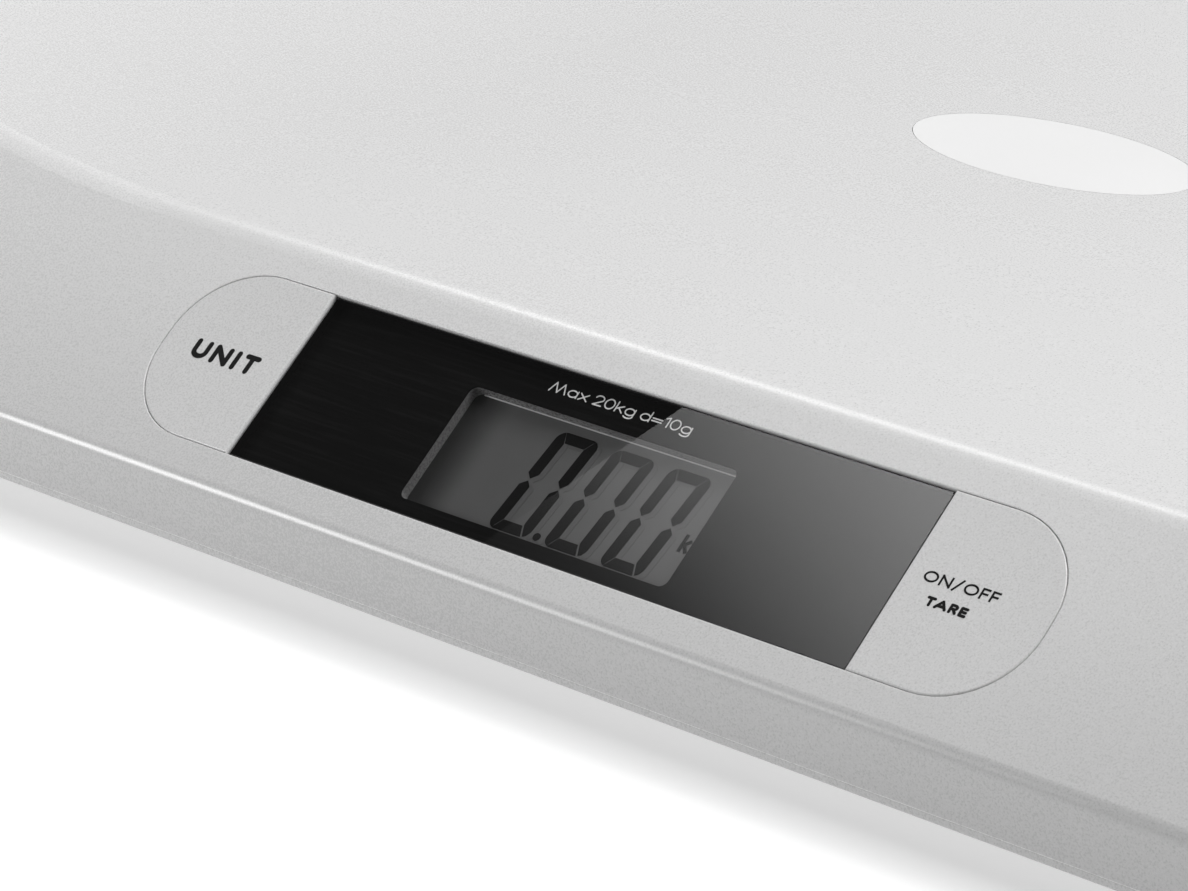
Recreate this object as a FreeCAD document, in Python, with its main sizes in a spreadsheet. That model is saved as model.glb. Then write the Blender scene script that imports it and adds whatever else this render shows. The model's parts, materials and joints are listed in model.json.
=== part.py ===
"""Digital baby weighing scale, as a parametric FreeCAD document.

Frame: millimetres, +X to the right seen from the display side, +Y to the rear, +Z up.
The origin is on the floor, under the centre of the housing.

The display, the keys and the circuit board lie square to the sloping front panel.  They are
modelled in the panel's own frame, whose origin is the centre of the display window on the
panel's outer face: x to the right, "up" along the slope, "out" away from the panel.
"""
import FreeCAD, Part
import math
import os

import Sketcher

DOC = FreeCAD.newDocument("baby_scale")
SHEET = DOC.addObject("Spreadsheet::Sheet", "Sizes")
X_AXIS = FreeCAD.Vector(1, 0, 0)
Y_AXIS = FreeCAD.Vector(0, 1, 0)
Z_AXIS = FreeCAD.Vector(0, 0, 1)

# ---------------------------------------------------------------- driving dimensions
SIZES = (
    ("overall_length", 552, "housing, left to right"),
    ("overall_depth", 338, "housing, front to rear"),
    ("foot_gap", 5, "floor to the lower edge of the housing"),
    ("rim_height", 1.7, "strip of the bottom cover that shows below the shell"),
    ("skirt_height", 13.8, "lower edge of the housing to the fold below the panel"),
    ("corner_radius", 62, "upright corners of the skirt"),
    ("hip_radius", 60, "rounds between neighbouring slopes"),
    ("form_rise", 58, "construction form above the fold, higher than the tray's ends"),
    ("wall", 2.2, "skirt wall of the shell"),
    ("tray_wall", 2.8, "tray wall of the shell"),
    ("panel_tilt", 36.3, "front panel above the horizontal, degrees"),
    ("panel_run", 43.7, "front panel from fold to ridge, measured level"),
    ("end_tilt", 62, "end slopes above the horizontal, degrees"),
    ("rear_tilt", 58, "rear slope above the horizontal, degrees"),
    ("tray_tilt", 1, "tray's rise to the rear, degrees"),
    ("tray_flat", 240, "length of the tray's flat middle"),
    ("cradle_radius", 620, "radius of the tray's rising ends"),
    ("ridge_radius", 9, "round between tray and slopes"),
    ("fold_radius", 3.5, "round between slopes and skirt"),
    ("rib_thick", 1.8, "ribs under the tray"),
    ("rib_low", 38, "lower edge of the ribs above the floor"),
    ("rib_pitch_x", 80, "spacing of the ribs that run front to rear"),
    ("rib_pitch_y", 60, "spacing of the ribs that run left to right"),
    ("rib_front", 48, "front ends of the ribs behind the housing's front"),
    ("badge_length", 65.2, "oval inlay, long way"),
    ("badge_width", 33.6, "oval inlay, short way"),
    ("badge_x", -4, "centre of the oval inlay, left to right"),
    ("badge_y", 5.5, "centre of the oval inlay, front to rear"),
    ("badge_thick", 0.9, "oval inlay thickness"),
    ("badge_gap", 0.15, "clearance around the oval inlay"),
    ("window_length", 144.4, "display window between the keys"),
    ("window_height", 38.2, "display window up the slope"),
    ("window_low", 8, "fold to the window's lower edge, up the slope"),
    ("shell_edge", 0.25, "round on the shell's edges at its foot and around the window and keys"),
    ("window_recess", 0.7, "window's face below the panel's face"),
    ("lens_thick", 2.05, "clear window"),
    ("lens_bevel", 0.3, "bevel around the window's face"),
    ("lens_gap", 0.15, "clearance around the window"),
    ("mask_thick", 0.2, "printed mask behind the window"),
    ("aperture_length", 62.5, "clear opening of the mask"),
    ("aperture_height", 25.9, "clear opening of the mask, up the slope"),
    ("aperture_radius", 1.7, "corners of the clear opening"),
    ("aperture_x", -2.1, "centre of the clear opening, left to right"),
    ("aperture_up", -1.8, "centre of the clear opening, up the slope"),
    ("key_length", 30.4, "each key, left to right"),
    ("key_radius", 17.45, "outer corners of each key"),
    ("key_thick", 2.2, "top plate of each key"),
    ("key_gap", 0.1, "clearance around each key"),
    ("key_edge", 0.4, "round on each key's upper edge"),
    ("key_travel", 0.6, "how far each key presses in"),
    ("key_post_radius", 2.4, "post that presses the switch"),
    ("hook_spread", 24, "distance between the two hooks of a key"),
    ("hook_length", 5, "hook, left to right"),
    ("hook_thick", 1.4, "leg of a hook"),
    ("hook_barb", 1, "barb of a hook, beyond its leg"),
    ("bed_depth", 5, "panel's face to the back of the moulded display bed"),
    ("bed_border", 3, "display bed beyond the window and keys"),
    ("lcd_length", 70, "display glass"),
    ("lcd_height", 30, "display glass, up the slope"),
    ("lcd_thick", 2.8, "display glass, both sheets and polarisers"),
    ("lcd_depth", 5.2, "panel's face to the display glass"),
    ("holder_wall", 1.6, "walls of the display holder"),
    ("holder_flange", 3, "flange of the display holder beyond its walls"),
    ("fit_gap", 0.25, "clearance of parts that slip together"),
    ("contact_gap", 0.05, "clearance of faces that bear on each other"),
    ("running_gap", 0.35, "clearance beside moving parts"),
    ("board_length", 192, "circuit board"),
    ("board_height", 39, "circuit board, up the slope"),
    ("board_thick", 1.6, "circuit board"),
    ("board_depth", 12, "panel's face to the circuit board"),
    ("board_screw_x", 62, "board screws from the window's centre, left and right"),
    ("board_screw_up", 15, "board screws from the window's centre, up and down"),
    ("board_screw_radius", 0.9, "shank of a board screw"),
    ("board_head_radius", 2, "head of a board screw"),
    ("board_head_thick", 1.4, "head of a board screw"),
    ("board_hole_radius", 1.25, "holes in the circuit board"),
    ("board_boss_radius", 2.7, "bosses that carry the circuit board"),
    ("pilot_cover", 1, "plastic left above the pilot holes of the board screws"),
    ("chip_size", 12, "controller chip, square"),
    ("chip_thick", 1.6, "controller chip"),
    ("chip_x", 47, "controller chip from the window's centre, left to right"),
    ("chip_up", -4, "controller chip from the window's centre, up the slope"),
    ("component_length", 5, "small components on the board"),
    ("component_width", 3, "small components on the board"),
    ("component_thick", 1.4, "small components on the board"),
    ("component_x", 49, "left column of components from the window's centre"),
    ("component_pitch", 9, "spacing of the components in a column"),
    ("switch_size", 6, "tact switch body, square"),
    ("switch_thick", 3.5, "tact switch body above the board"),
    ("plunger_radius", 1.6, "tact switch plunger"),
    ("plunger_rise", 1.5, "tact switch plunger above its body"),
    ("zebra_width", 2, "zebra connector strips"),
    ("socket_size", 7, "lead sockets on the board, square"),
    ("socket_thick", 4.8, "lead sockets on the board"),
    ("socket_up", 8, "lead sockets from the window's centre, up the slope"),
    ("cover_thick", 2.6, "bottom cover plate"),
    ("cover_edge", 0.7, "round on the bottom cover's lower edge"),
    ("lip_thick", 1.6, "locating lip of the bottom cover"),
    ("lip_height", 5, "locating lip above the cover plate"),
    ("boss_radius", 4, "screw bosses of the shell"),
    ("sleeve_radius", 5, "screw sleeves of the bottom cover"),
    ("sleeve_height", 2.6, "screw sleeves above the cover plate"),
    ("screw_radius", 1.5, "shank of a housing screw"),
    ("screw_length", 14, "shank of a housing screw"),
    ("head_radius", 2.9, "head of a housing screw"),
    ("head_thick", 2.1, "head of a housing screw"),
    ("head_seat", 3.25, "underside of the cover to the seats of the housing screws"),
    ("driver_slot", 0.9, "cross slots in the screw heads, width and depth"),
    ("side_screw_inset", 32, "housing screws at the ends, in from the end"),
    ("side_screw_y", 55, "housing screws at the ends, from the centre"),
    ("long_screw_x", 150, "housing screws at front and rear, from the centre"),
    ("long_screw_inset", 21, "housing screws at front and rear, in from the side"),
    ("foot_inset_x", 61, "feet in from the ends"),
    ("foot_inset_y", 53, "feet in from front and rear"),
    ("pad_radius", 13, "rubber pad of a foot"),
    ("pad_thick", 2.2, "rubber pad of a foot"),
    ("pad_edge", 0.8, "round on the pad's lower edge"),
    ("cup_flange_radius", 14.5, "foot cup below the housing"),
    ("cup_flange_thick", 1.6, "foot cup below the housing"),
    ("cup_radius", 11.5, "foot cup where it enters the housing"),
    ("cup_button_radius", 4, "part of the foot cup that presses the load cell"),
    ("cup_gap", 1, "clearance around the foot cup"),
    ("cell_size", 34, "load cell plate, square"),
    ("cell_thick", 1.6, "load cell plate"),
    ("cell_low", 10.2, "load cell plate above the floor"),
    ("cell_slot", 2.2, "slot around the load cell's tongue, width"),
    ("cell_slot_length", 21, "slots beside the load cell's tongue"),
    ("tongue_width", 9.5, "load cell's sprung tongue"),
    ("gauge_length", 9, "strain gauge on a load cell"),
    ("gauge_width", 6.6, "strain gauge on a load cell"),
    ("gauge_thick", 0.8, "strain gauge on a load cell"),
    ("seat_wall", 3, "load cell seat beyond the load cell"),
    ("ear_reach", 26, "seat screws from the foot's centre"),
    ("ear_radius", 3.6, "screw ears of a load cell seat"),
    ("bay_y", 30, "battery bay from the centre, front to rear"),
    ("bay_length", 51, "battery bay, left to right"),
    ("bay_height", 11.6, "battery bay above the door"),
    ("bay_wall", 1.6, "battery bay walls"),
    ("battery_radius", 5.25, "AAA cell"),
    ("battery_length", 43.5, "AAA cell without its button"),
    ("battery_pitch", 11.6, "spacing of the cells"),
    ("battery_nub", 1, "positive button of a cell, height"),
    ("battery_nub_radius", 2.6, "positive button of a cell"),
    ("contact_size", 9.4, "battery contacts, square"),
    ("contact_thick", 0.4, "battery contacts"),
    ("spring_radius", 3, "battery spring, mean"),
    ("spring_wire", 0.35, "battery spring wire, radius"),
    ("door_border", 2.7, "battery door beyond the bay, all round"),
    ("door_thick", 1.6, "battery door"),
    ("door_gap", 0.35, "clearance around the battery door"),
    ("hinge_reach", 3.6, "battery door's rear edge to its hinge axis"),
    ("hinge_pin_radius", 0.7, "stub pins of the battery door"),
    ("hinge_pin_length", 1.8, "stub pins of the battery door"),
    ("hinge_x", 18, "hinge arms of the battery door from its centre"),
    ("hinge_arm", 5, "hinge arms of the battery door, left to right"),
    ("latch_length", 8.5, "latch finger of the battery door"),
    ("latch_thick", 0.8, "latch finger of the battery door"),
    ("notch_length", 13, "finger notch in front of the battery door"),
    ("notch_depth", 1.3, "finger notch in front of the battery door"),
    ("lead_radius", 1, "load cell and battery leads"),
    ("lead_entry", 10, "leads beside the seat screws where they reach the load cells"),
)

SMALL = 0.5  # how far pieces of one solid's stock pass into each other
CLEAR = 1  # how far a cutting solid reaches past what it cuts
NEAR = 0.01  # how closely an edge has to lie on a plane to be picked for a round
SPRING_TURNS = 3
SPRING_POINTS = 12  # mitred runs in each turn of a spring
MITRED = 1  # how a sweep joins its runs
ARC_SHARE = 0.45  # setback of a route's arcs over the shorter run beside them

# ---------------------------------------------------------------- places worked out from them
FRONT = "(-Sizes.overall_depth / 2)"
SHELL_LOW = "(Sizes.foot_gap + Sizes.rim_height)"
FOLD = "(Sizes.foot_gap + Sizes.skirt_height)"
RIDGE_Y = "(Sizes.panel_run - Sizes.overall_depth / 2)"
RIDGE = f"({FOLD} + Sizes.panel_run * tan(Sizes.panel_tilt))"
WINDOW_REACH = "(Sizes.window_low + Sizes.window_height / 2)"
PANEL_Y = f"({FRONT} + {WINDOW_REACH} * cos(Sizes.panel_tilt))"
PANEL_Z = f"({FOLD} + {WINDOW_REACH} * sin(Sizes.panel_tilt))"
CRADLE_LENGTH = f"(Sizes.overall_length + {20 * CLEAR})"
CRADLE_RISE = "(1.7 * Sizes.form_rise)"
CLUSTER = "(Sizes.window_length + 2 * Sizes.key_length)"
PILOT_TOP = "(Sizes.bed_depth + Sizes.pilot_cover)"
LENS_BACK = "(Sizes.window_recess + Sizes.lens_thick)"
WINDOW_FLOOR = f"({LENS_BACK} + Sizes.mask_thick)"
WELL_FLOOR = "(Sizes.key_thick + Sizes.key_travel + Sizes.running_gap)"
KEY_X = "(Sizes.window_length / 2 + Sizes.key_length - Sizes.key_radius)"
BOARD_BACK = "(Sizes.board_depth + Sizes.board_thick)"
SWITCH_FACE = "(Sizes.board_depth - Sizes.switch_thick)"
PLUNGER_TOP = f"({SWITCH_FACE} - Sizes.plunger_rise)"
LCD_BACK = "(Sizes.lcd_depth + Sizes.lcd_thick)"
HOLDER_LENGTH = "(Sizes.lcd_length + 2 * (Sizes.fit_gap + Sizes.holder_wall))"
HOLDER_HEIGHT = "(Sizes.lcd_height + 2 * (Sizes.fit_gap + Sizes.holder_wall))"
COVER_TOP = "(Sizes.foot_gap + Sizes.cover_thick)"
BELOW = f"(Sizes.foot_gap - {CLEAR})"
SLEEVE_TOP = f"({COVER_TOP} + Sizes.sleeve_height)"
CUP_LOW = "Sizes.pad_thick"
CELL_TOP = "(Sizes.cell_low + Sizes.cell_thick)"
BAY_WIDTH = "(3 * Sizes.battery_pitch + 2 * Sizes.battery_radius + 4 * Sizes.fit_gap)"
DOOR_LENGTH = "(Sizes.bay_length + 2 * Sizes.door_border)"
DOOR_WIDTH = f"({BAY_WIDTH} + 2 * Sizes.door_border)"
DOOR_LOW = "(Sizes.foot_gap + Sizes.contact_gap)"
DOOR_TOP = f"({DOOR_LOW} + Sizes.door_thick)"
BAY_ROOF = f"({DOOR_TOP} + Sizes.bay_height)"
HINGE_Y = f"(Sizes.bay_y + {DOOR_WIDTH} / 2 + Sizes.hinge_reach)"
HINGE_Z = "(Sizes.foot_gap + Sizes.cover_thick / 2)"
FOOT_X = "(Sizes.overall_length / 2 - Sizes.foot_inset_x)"
FOOT_Y = "(Sizes.overall_depth / 2 - Sizes.foot_inset_y)"
BATTERY_Z = f"({DOOR_TOP} + Sizes.fit_gap + Sizes.battery_radius)"
SIDES = (("left", -1), ("right", 1))
CORNERS = (
    ("front_left", -1, -1),
    ("front_right", 1, -1),
    ("rear_left", -1, 1),
    ("rear_right", 1, 1),
)
PARTS = []


# ---------------------------------------------------------------- document helpers
def write_sizes():
    """Put every driving dimension in the sheet: its meaning, its value and its alias."""
    for row, (alias, value, meaning) in enumerate(SIZES, 1):
        SHEET.set(f"A{row}", meaning)
        SHEET.set(f"B{row}", str(value))
        SHEET.setAlias(f"B{row}", alias)
    DOC.recompute()


def value(expression):
    """The number that an expression on the sheet gives now."""
    result = SHEET.evalExpression(str(expression))
    return float(getattr(result, "Value", result))


def bind(obj, **sizes):
    """Tie properties of an object to expressions on the sheet."""
    for name, expression in sizes.items():
        obj.setExpression(name, str(expression))
    return obj


def place(obj, x=0, y=0, z=0):
    """Tie an object's position, unturned."""
    for axis, expression in (("x", x), ("y", y), ("z", z)):
        obj.setExpression(f"Placement.Base.{axis}", str(expression))
    return obj


def turn(obj, axis, expression):
    """Tie an object's turn about one axis, in degrees."""
    obj.Placement = FreeCAD.Placement(obj.Placement.Base, FreeCAD.Rotation(axis, value(expression)))
    obj.setExpression("Placement.Rotation.Angle", str(expression))
    return obj


def on_panel(obj, x=0, up=0, out=0):
    """Place an object, modelled in the panel's frame, on the sloping front panel."""
    rise = f"(({up}) * sin(Sizes.panel_tilt) + ({out}) * cos(Sizes.panel_tilt))"
    run = f"(({up}) * cos(Sizes.panel_tilt) - ({out}) * sin(Sizes.panel_tilt))"
    turn(obj, X_AXIS, "Sizes.panel_tilt")
    return place(obj, x, f"{PANEL_Y} + {run}", f"{PANEL_Z} + {rise}")


def on_tray(obj, x, y, out=0):
    """Place an object square to the tray's flat middle."""
    turn(obj, X_AXIS, "Sizes.tray_tilt")
    height = f"{RIDGE} + (({y}) - {RIDGE_Y}) * tan(Sizes.tray_tilt) + ({out})"
    return place(obj, x, y, height)


def part(obj, name):
    """Register an object as a sub-part under its node name."""
    obj.Label = name
    PARTS.append(obj)
    return obj


# ---------------------------------------------------------------- shape helpers
def box(name, length, width, height, x=0, y=0, z=0):
    """A block centred on x and y, standing on z."""
    block = DOC.addObject("Part::Box", name)
    bind(block, Length=length, Width=width, Height=height)
    return place(block, f"({x}) - ({length}) / 2", f"({y}) - ({width}) / 2", z)


def cylinder(name, radius, height, x=0, y=0, z=0):
    """An upright cylinder standing on z."""
    rod = DOC.addObject("Part::Cylinder", name)
    bind(rod, Radius=radius, Height=height)
    return place(rod, x, y, z)


def cross_rod(name, radius, length, x=0, y=0, z=0):
    """A cylinder along X, centred on x."""
    rod = DOC.addObject("Part::Cylinder", name)
    bind(rod, Radius=radius, Height=length)
    turn(rod, Y_AXIS, 90)
    return place(rod, f"({x}) - ({length}) / 2", y, z)


def oval(name, length, width, height):
    """An upright elliptic slab centred on the origin, standing on its base."""
    ring = DOC.addObject("Part::Ellipse", f"{name}_ring")
    bind(ring, MajorRadius=f"({length}) / 2", MinorRadius=f"({width}) / 2")
    slab = DOC.addObject("Part::Extrusion", name)
    slab.Base = ring
    slab.DirMode = "Custom"
    slab.Dir = Z_AXIS
    slab.Solid = True
    return bind(slab, LengthFwd=height)


def fuse(name, shapes):
    """Join solids into one."""
    joined = DOC.addObject("Part::MultiFuse", name)
    joined.Shapes = list(shapes)
    joined.Refine = True
    return joined


def common(name, shapes):
    """Keep what all of the solids share."""
    shared = DOC.addObject("Part::MultiCommon", name)
    shared.Shapes = list(shapes)
    return shared


def cut(name, base, tool):
    """Take one solid away from another."""
    rest = DOC.addObject("Part::Cut", name)
    rest.Base = base
    rest.Tool = tool
    return rest


def group(name, shapes):
    """Keep several separate solids together in one object."""
    bundle = DOC.addObject("Part::Compound", name)
    bundle.Links = list(shapes)
    return bundle


def rounded_path(points):
    """Straight runs through the points, joined by tangent arcs, as a wire with its arcs' radii."""
    edges = []
    radii = []
    start = points[0]
    for before, corner, after in zip(points, points[1:], points[2:]):
        run_in = corner - before
        run_out = after - corner
        angle = run_in.getAngle(run_out)
        setback = ARC_SHARE * min(run_in.Length, run_out.Length)
        radii.append(setback / math.tan(angle / 2))
        first = corner - FreeCAD.Vector(run_in).normalize() * setback
        last = corner + FreeCAD.Vector(run_out).normalize() * setback
        inward = FreeCAD.Vector((first + last) * 0.5 - corner).normalize()
        middle = corner + inward * (radii[-1] / math.cos(angle / 2) - radii[-1])
        edges.append(Part.LineSegment(start, first).toShape())
        edges.append(Part.Arc(first, middle, last).toShape())
        start = last
    edges.append(Part.LineSegment(start, points[-1]).toShape())
    return Part.Wire(edges), radii


def origin_plane(body, role):
    """One of a body's own origin planes."""
    return next(item for item in body.Origin.OriginFeatures if item.Role == role)


def new_sketch(body, name, role="XY_Plane"):
    """A sketch on one of its body's own origin planes."""
    sketch = body.newObject("Sketcher::SketchObject", name)
    sketch.AttachmentSupport = (origin_plane(body, role), [""])
    sketch.MapMode = "FlatFace"
    return sketch


def shift_sketch(sketch, x=0, y=0, z=0):
    """Tie a sketch's offset from its plane."""
    for axis, expression in (("x", x), ("y", y), ("z", z)):
        sketch.setExpression(f"AttachmentOffset.Base.{axis}", str(expression))


def size_constraint(sketch, name, kind, target, expression):
    """Add a named dimension to a sketch and tie it to the sheet."""
    index = sketch.addConstraint(Sketcher.Constraint(kind, *target, value(expression)))
    sketch.renameConstraint(index, name)
    sketch.setExpression(f"Constraints.{name}", str(expression))


def draw_rounded_rectangle(sketch, length, width, radius):
    """Draw a rectangle with round corners, centred on the sketch's origin."""
    half_x = value(length) / 2
    half_y = value(width) / 2
    round_size = value(radius)
    inner_x = half_x - round_size
    inner_y = half_y - round_size
    point = FreeCAD.Vector
    sides = (
        (point(-inner_x, -half_y), point(inner_x, -half_y)),
        (point(half_x, -inner_y), point(half_x, inner_y)),
        (point(inner_x, half_y), point(-inner_x, half_y)),
        (point(-half_x, inner_y), point(-half_x, -inner_y)),
    )
    centres = (
        point(inner_x, -inner_y),
        point(inner_x, inner_y),
        point(-inner_x, inner_y),
        point(-inner_x, -inner_y),
    )
    for quarter, (side, centre) in enumerate(zip(sides, centres)):
        sketch.addGeometry(Part.LineSegment(*side), False)
        start = (quarter - 1) * math.pi / 2
        circle = Part.Circle(centre, Z_AXIS, round_size)
        sketch.addGeometry(Part.ArcOfCircle(circle, start, start + math.pi / 2), False)
    for side in range(0, 8, 2):
        sketch.addConstraint(Sketcher.Constraint("Tangent", side, 2, side + 1, 1))
        sketch.addConstraint(Sketcher.Constraint("Tangent", side + 1, 2, (side + 2) % 8, 1))
    for side in (0, 4):
        sketch.addConstraint(Sketcher.Constraint("Horizontal", side))
        sketch.addConstraint(Sketcher.Constraint("Vertical", side + 2))
    for corner in (3, 5, 7):
        sketch.addConstraint(Sketcher.Constraint("Equal", 1, corner))
    sketch.addConstraint(Sketcher.Constraint("Symmetric", 3, 3, 7, 3, -1, 1))
    size_constraint(sketch, "corner", "Radius", (1,), radius)
    size_constraint(sketch, "length", "DistanceX", (6, 1, 2, 1), length)
    size_constraint(sketch, "width", "DistanceY", (0, 1, 4, 1), width)


def draw_surround(sketch, first, size):
    """Draw a square around what a sketch already holds; first is the index of its first side."""
    half = value(size) / 2
    corners = [FreeCAD.Vector(x * half, y * half) for x, y in ((-1, -1), (1, -1), (1, 1), (-1, 1))]
    for start, finish in zip(corners, corners[1:] + corners[:1]):
        sketch.addGeometry(Part.LineSegment(start, finish), False)
    for side in range(4):
        following = first + (side + 1) % 4
        sketch.addConstraint(Sketcher.Constraint("Coincident", first + side, 2, following, 1))
    for side in (0, 2):
        sketch.addConstraint(Sketcher.Constraint("Horizontal", first + side))
        sketch.addConstraint(Sketcher.Constraint("Vertical", first + side + 1))
    sketch.addConstraint(Sketcher.Constraint("Symmetric", first, 1, first + 2, 1, -1, 1))
    size_constraint(sketch, "surround_x", "DistanceX", (first, 1, first, 2), size)
    size_constraint(sketch, "surround_y", "DistanceY", (first + 1, 1, first + 1, 2), size)


def slab(name, length, width, radius, height, x=0, y=0, z=0):
    """A round-cornered slab centred on x and y, standing on z."""
    body = DOC.addObject("PartDesign::Body", name)
    sketch = new_sketch(body, f"{name}_outline")
    draw_rounded_rectangle(sketch, length, width, radius)
    pad = body.newObject("PartDesign::Pad", f"{name}_pad")
    pad.Profile = sketch
    bind(pad, Length=height)
    sketch.Visibility = False
    return place(body, x, y, z)


def fillet_edges(body, base, name, radius, wanted):
    """Round those edges of a body's feature for which wanted(shape, edge) is true."""
    DOC.recompute()
    shape = base.Shape
    names = [f"Edge{index}" for index, edge in enumerate(shape.Edges, 1) if wanted(shape, edge)]
    fillet = body.newObject("PartDesign::Fillet", name)
    fillet.Base = (base, names)
    bind(fillet, Radius=radius)
    return fillet


def trim_edges(kind, name, base, size, wanted):
    """Round (Part::Fillet) or bevel (Part::Chamfer) the edges for which wanted(edge) is true."""
    DOC.recompute()
    trimmed = DOC.addObject(kind, name)
    trimmed.Base = base
    length = value(size)
    trimmed.Edges = [
        (index, length, length) for index, edge in enumerate(base.Shape.Edges, 1) if wanted(edge)
    ]
    return trimmed


# ---------------------------------------------------------------- housing form
def draw_cradle(sketch, radius):
    """Draw the outline above the tray: a flat middle with an arc rising at each end."""
    flat = value("Sizes.tray_flat / 2")
    bend = value(radius)
    reach = value(f"{CRADLE_LENGTH} / 2")
    top = value(CRADLE_RISE)
    swing = math.asin((reach - flat) / bend)
    rise = bend * (1 - math.cos(swing))
    point = FreeCAD.Vector
    down = -math.pi / 2
    right = Part.Circle(point(flat, bend), Z_AXIS, bend)
    left = Part.Circle(point(-flat, bend), Z_AXIS, bend)
    sketch.addGeometry(Part.LineSegment(point(-flat, 0), point(flat, 0)), False)
    sketch.addGeometry(Part.ArcOfCircle(right, down, down + swing), False)
    sketch.addGeometry(Part.LineSegment(point(reach, rise), point(reach, top)), False)
    sketch.addGeometry(Part.LineSegment(point(reach, top), point(-reach, top)), False)
    sketch.addGeometry(Part.LineSegment(point(-reach, top), point(-reach, rise)), False)
    sketch.addGeometry(Part.ArcOfCircle(left, down - swing, down), False)
    for kind, *ends in (
        ("Tangent", 0, 2, 1, 1),
        ("Coincident", 1, 2, 2, 1),
        ("Coincident", 2, 2, 3, 1),
        ("Coincident", 3, 2, 4, 1),
        ("Coincident", 4, 2, 5, 1),
        ("Tangent", 5, 2, 0, 1),
        ("Vertical", 2),
        ("Vertical", 4),
        ("Symmetric", 0, 1, 0, 2, -2),
        ("PointOnObject", 0, 1, -1),
        ("Equal", 1, 5),
        ("Symmetric", 3, 1, 3, 2, -2),
    ):
        sketch.addConstraint(Sketcher.Constraint(kind, *ends))
    size_constraint(sketch, "flat", "DistanceX", (0, 1, 0, 2), "Sizes.tray_flat")
    size_constraint(sketch, "bend", "Radius", (1,), radius)
    size_constraint(sketch, "reach", "DistanceX", (4, 1, 2, 2), CRADLE_LENGTH)
    size_constraint(sketch, "top", "DistanceY", (0, 2, 2, 2), CRADLE_RISE)


def housing_form(name, inset, low, tray_drop):
    """The housing's shape as a solid: skirt, four slopes and the tray cut into the top.

    inset moves every wall inwards, low is where the skirt starts and tray_drop lowers the tray.
    """
    fold = f"({FOLD} - ({inset}))"
    drop = f"({fold} - ({low}))"
    half_length = f"(Sizes.overall_length / 2 - ({inset}))"
    half_depth = f"(Sizes.overall_depth / 2 - ({inset}))"

    body = DOC.addObject("PartDesign::Body", name)
    slopes = body.newObject("PartDesign::AdditiveWedge", f"{name}_slopes")
    end_low = f"({half_length} + {drop} / tan(Sizes.end_tilt))"
    front_low = f"({half_depth} + {drop} / tan(Sizes.panel_tilt))"
    rear_low = f"({half_depth} + {drop} / tan(Sizes.rear_tilt))"
    end_top = f"({half_length} - Sizes.form_rise / tan(Sizes.end_tilt))"
    front_top = f"({half_depth} - Sizes.form_rise / tan(Sizes.panel_tilt))"
    rear_top = f"({half_depth} - Sizes.form_rise / tan(Sizes.rear_tilt))"
    bind(slopes, Ymin=0, Ymax=f"Sizes.form_rise + {drop}")
    bind(slopes, Xmin=f"-{end_low}", Xmax=end_low, Zmin=f"-{rear_low}", Zmax=front_low)
    bind(slopes, X2min=f"-{end_top}", X2max=end_top, Z2min=f"-{rear_top}", Z2max=front_top)
    turn(slopes, X_AXIS, 90)
    place(slopes, 0, 0, low)
    radius = f"Sizes.hip_radius - ({inset})"
    fillet_edges(body, slopes, f"{name}_hips", radius, is_hip)

    trim_sketch = new_sketch(body, f"{name}_trim_outline")
    outline_radius = f"Sizes.corner_radius - ({inset})"
    draw_rounded_rectangle(trim_sketch, f"2 * {half_length}", f"2 * {half_depth}", outline_radius)
    draw_surround(trim_sketch, 8, "2 * Sizes.overall_length")
    shift_sketch(trim_sketch, 0, 0, f"({low}) - {CLEAR}")
    trim = body.newObject("PartDesign::Pocket", f"{name}_skirt")
    trim.Profile = trim_sketch
    trim.Reversed = True
    bind(trim, Length=f"Sizes.form_rise + {drop} + {2 * CLEAR}")

    cradle_sketch = new_sketch(body, f"{name}_cradle_outline", "XZ_Plane")
    cradle_sketch.AttachmentOffset = FreeCAD.Placement(
        FreeCAD.Vector(), FreeCAD.Rotation(X_AXIS, value("Sizes.tray_tilt"))
    )
    cradle_sketch.setExpression("AttachmentOffset.Rotation.Angle", "Sizes.tray_tilt")
    draw_cradle(cradle_sketch, f"Sizes.cradle_radius + ({tray_drop})")
    start = f"{RIDGE} - ({tray_drop}) - (Sizes.overall_depth + {RIDGE_Y}) * tan(Sizes.tray_tilt)"
    shift_sketch(cradle_sketch, 0, start, "Sizes.overall_depth")
    cradle = body.newObject("PartDesign::Pocket", f"{name}_cradle")
    cradle.Profile = cradle_sketch
    bind(cradle, Length="2 * Sizes.overall_depth")
    return body, cradle


def is_hip(shape, edge):
    """True for an edge that climbs, between two slopes."""
    ends = [vertex.Z for vertex in edge.Vertexes]
    return max(ends) - min(ends) > 1


def is_tray(face):
    """True for a face that looks nearly straight up."""
    low_u, high_u, low_v, high_v = face.ParameterRange
    normal = face.normalAt((low_u + high_u) / 2, (low_v + high_v) / 2)
    return normal.z > 0.9


def is_ridge(shape, edge):
    """True for an edge between the tray and a slope."""
    faces = shape.ancestorsOfType(edge, Part.Face)
    return [is_tray(face) for face in faces].count(True) == 1


def is_upright(face):
    """True for a wall of the skirt."""
    low_u, high_u, low_v, high_v = face.ParameterRange
    return abs(face.normalAt((low_u + high_u) / 2, (low_v + high_v) / 2).z) < 0.01


def is_fold(shape, edge):
    """True for an edge between a slope and the skirt."""
    upright = [is_upright(face) for face in shape.ancestorsOfType(edge, Part.Face)]
    return upright.count(True) == 1 and edge.BoundBox.ZMin > value(SHELL_LOW) + CLEAR


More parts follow.
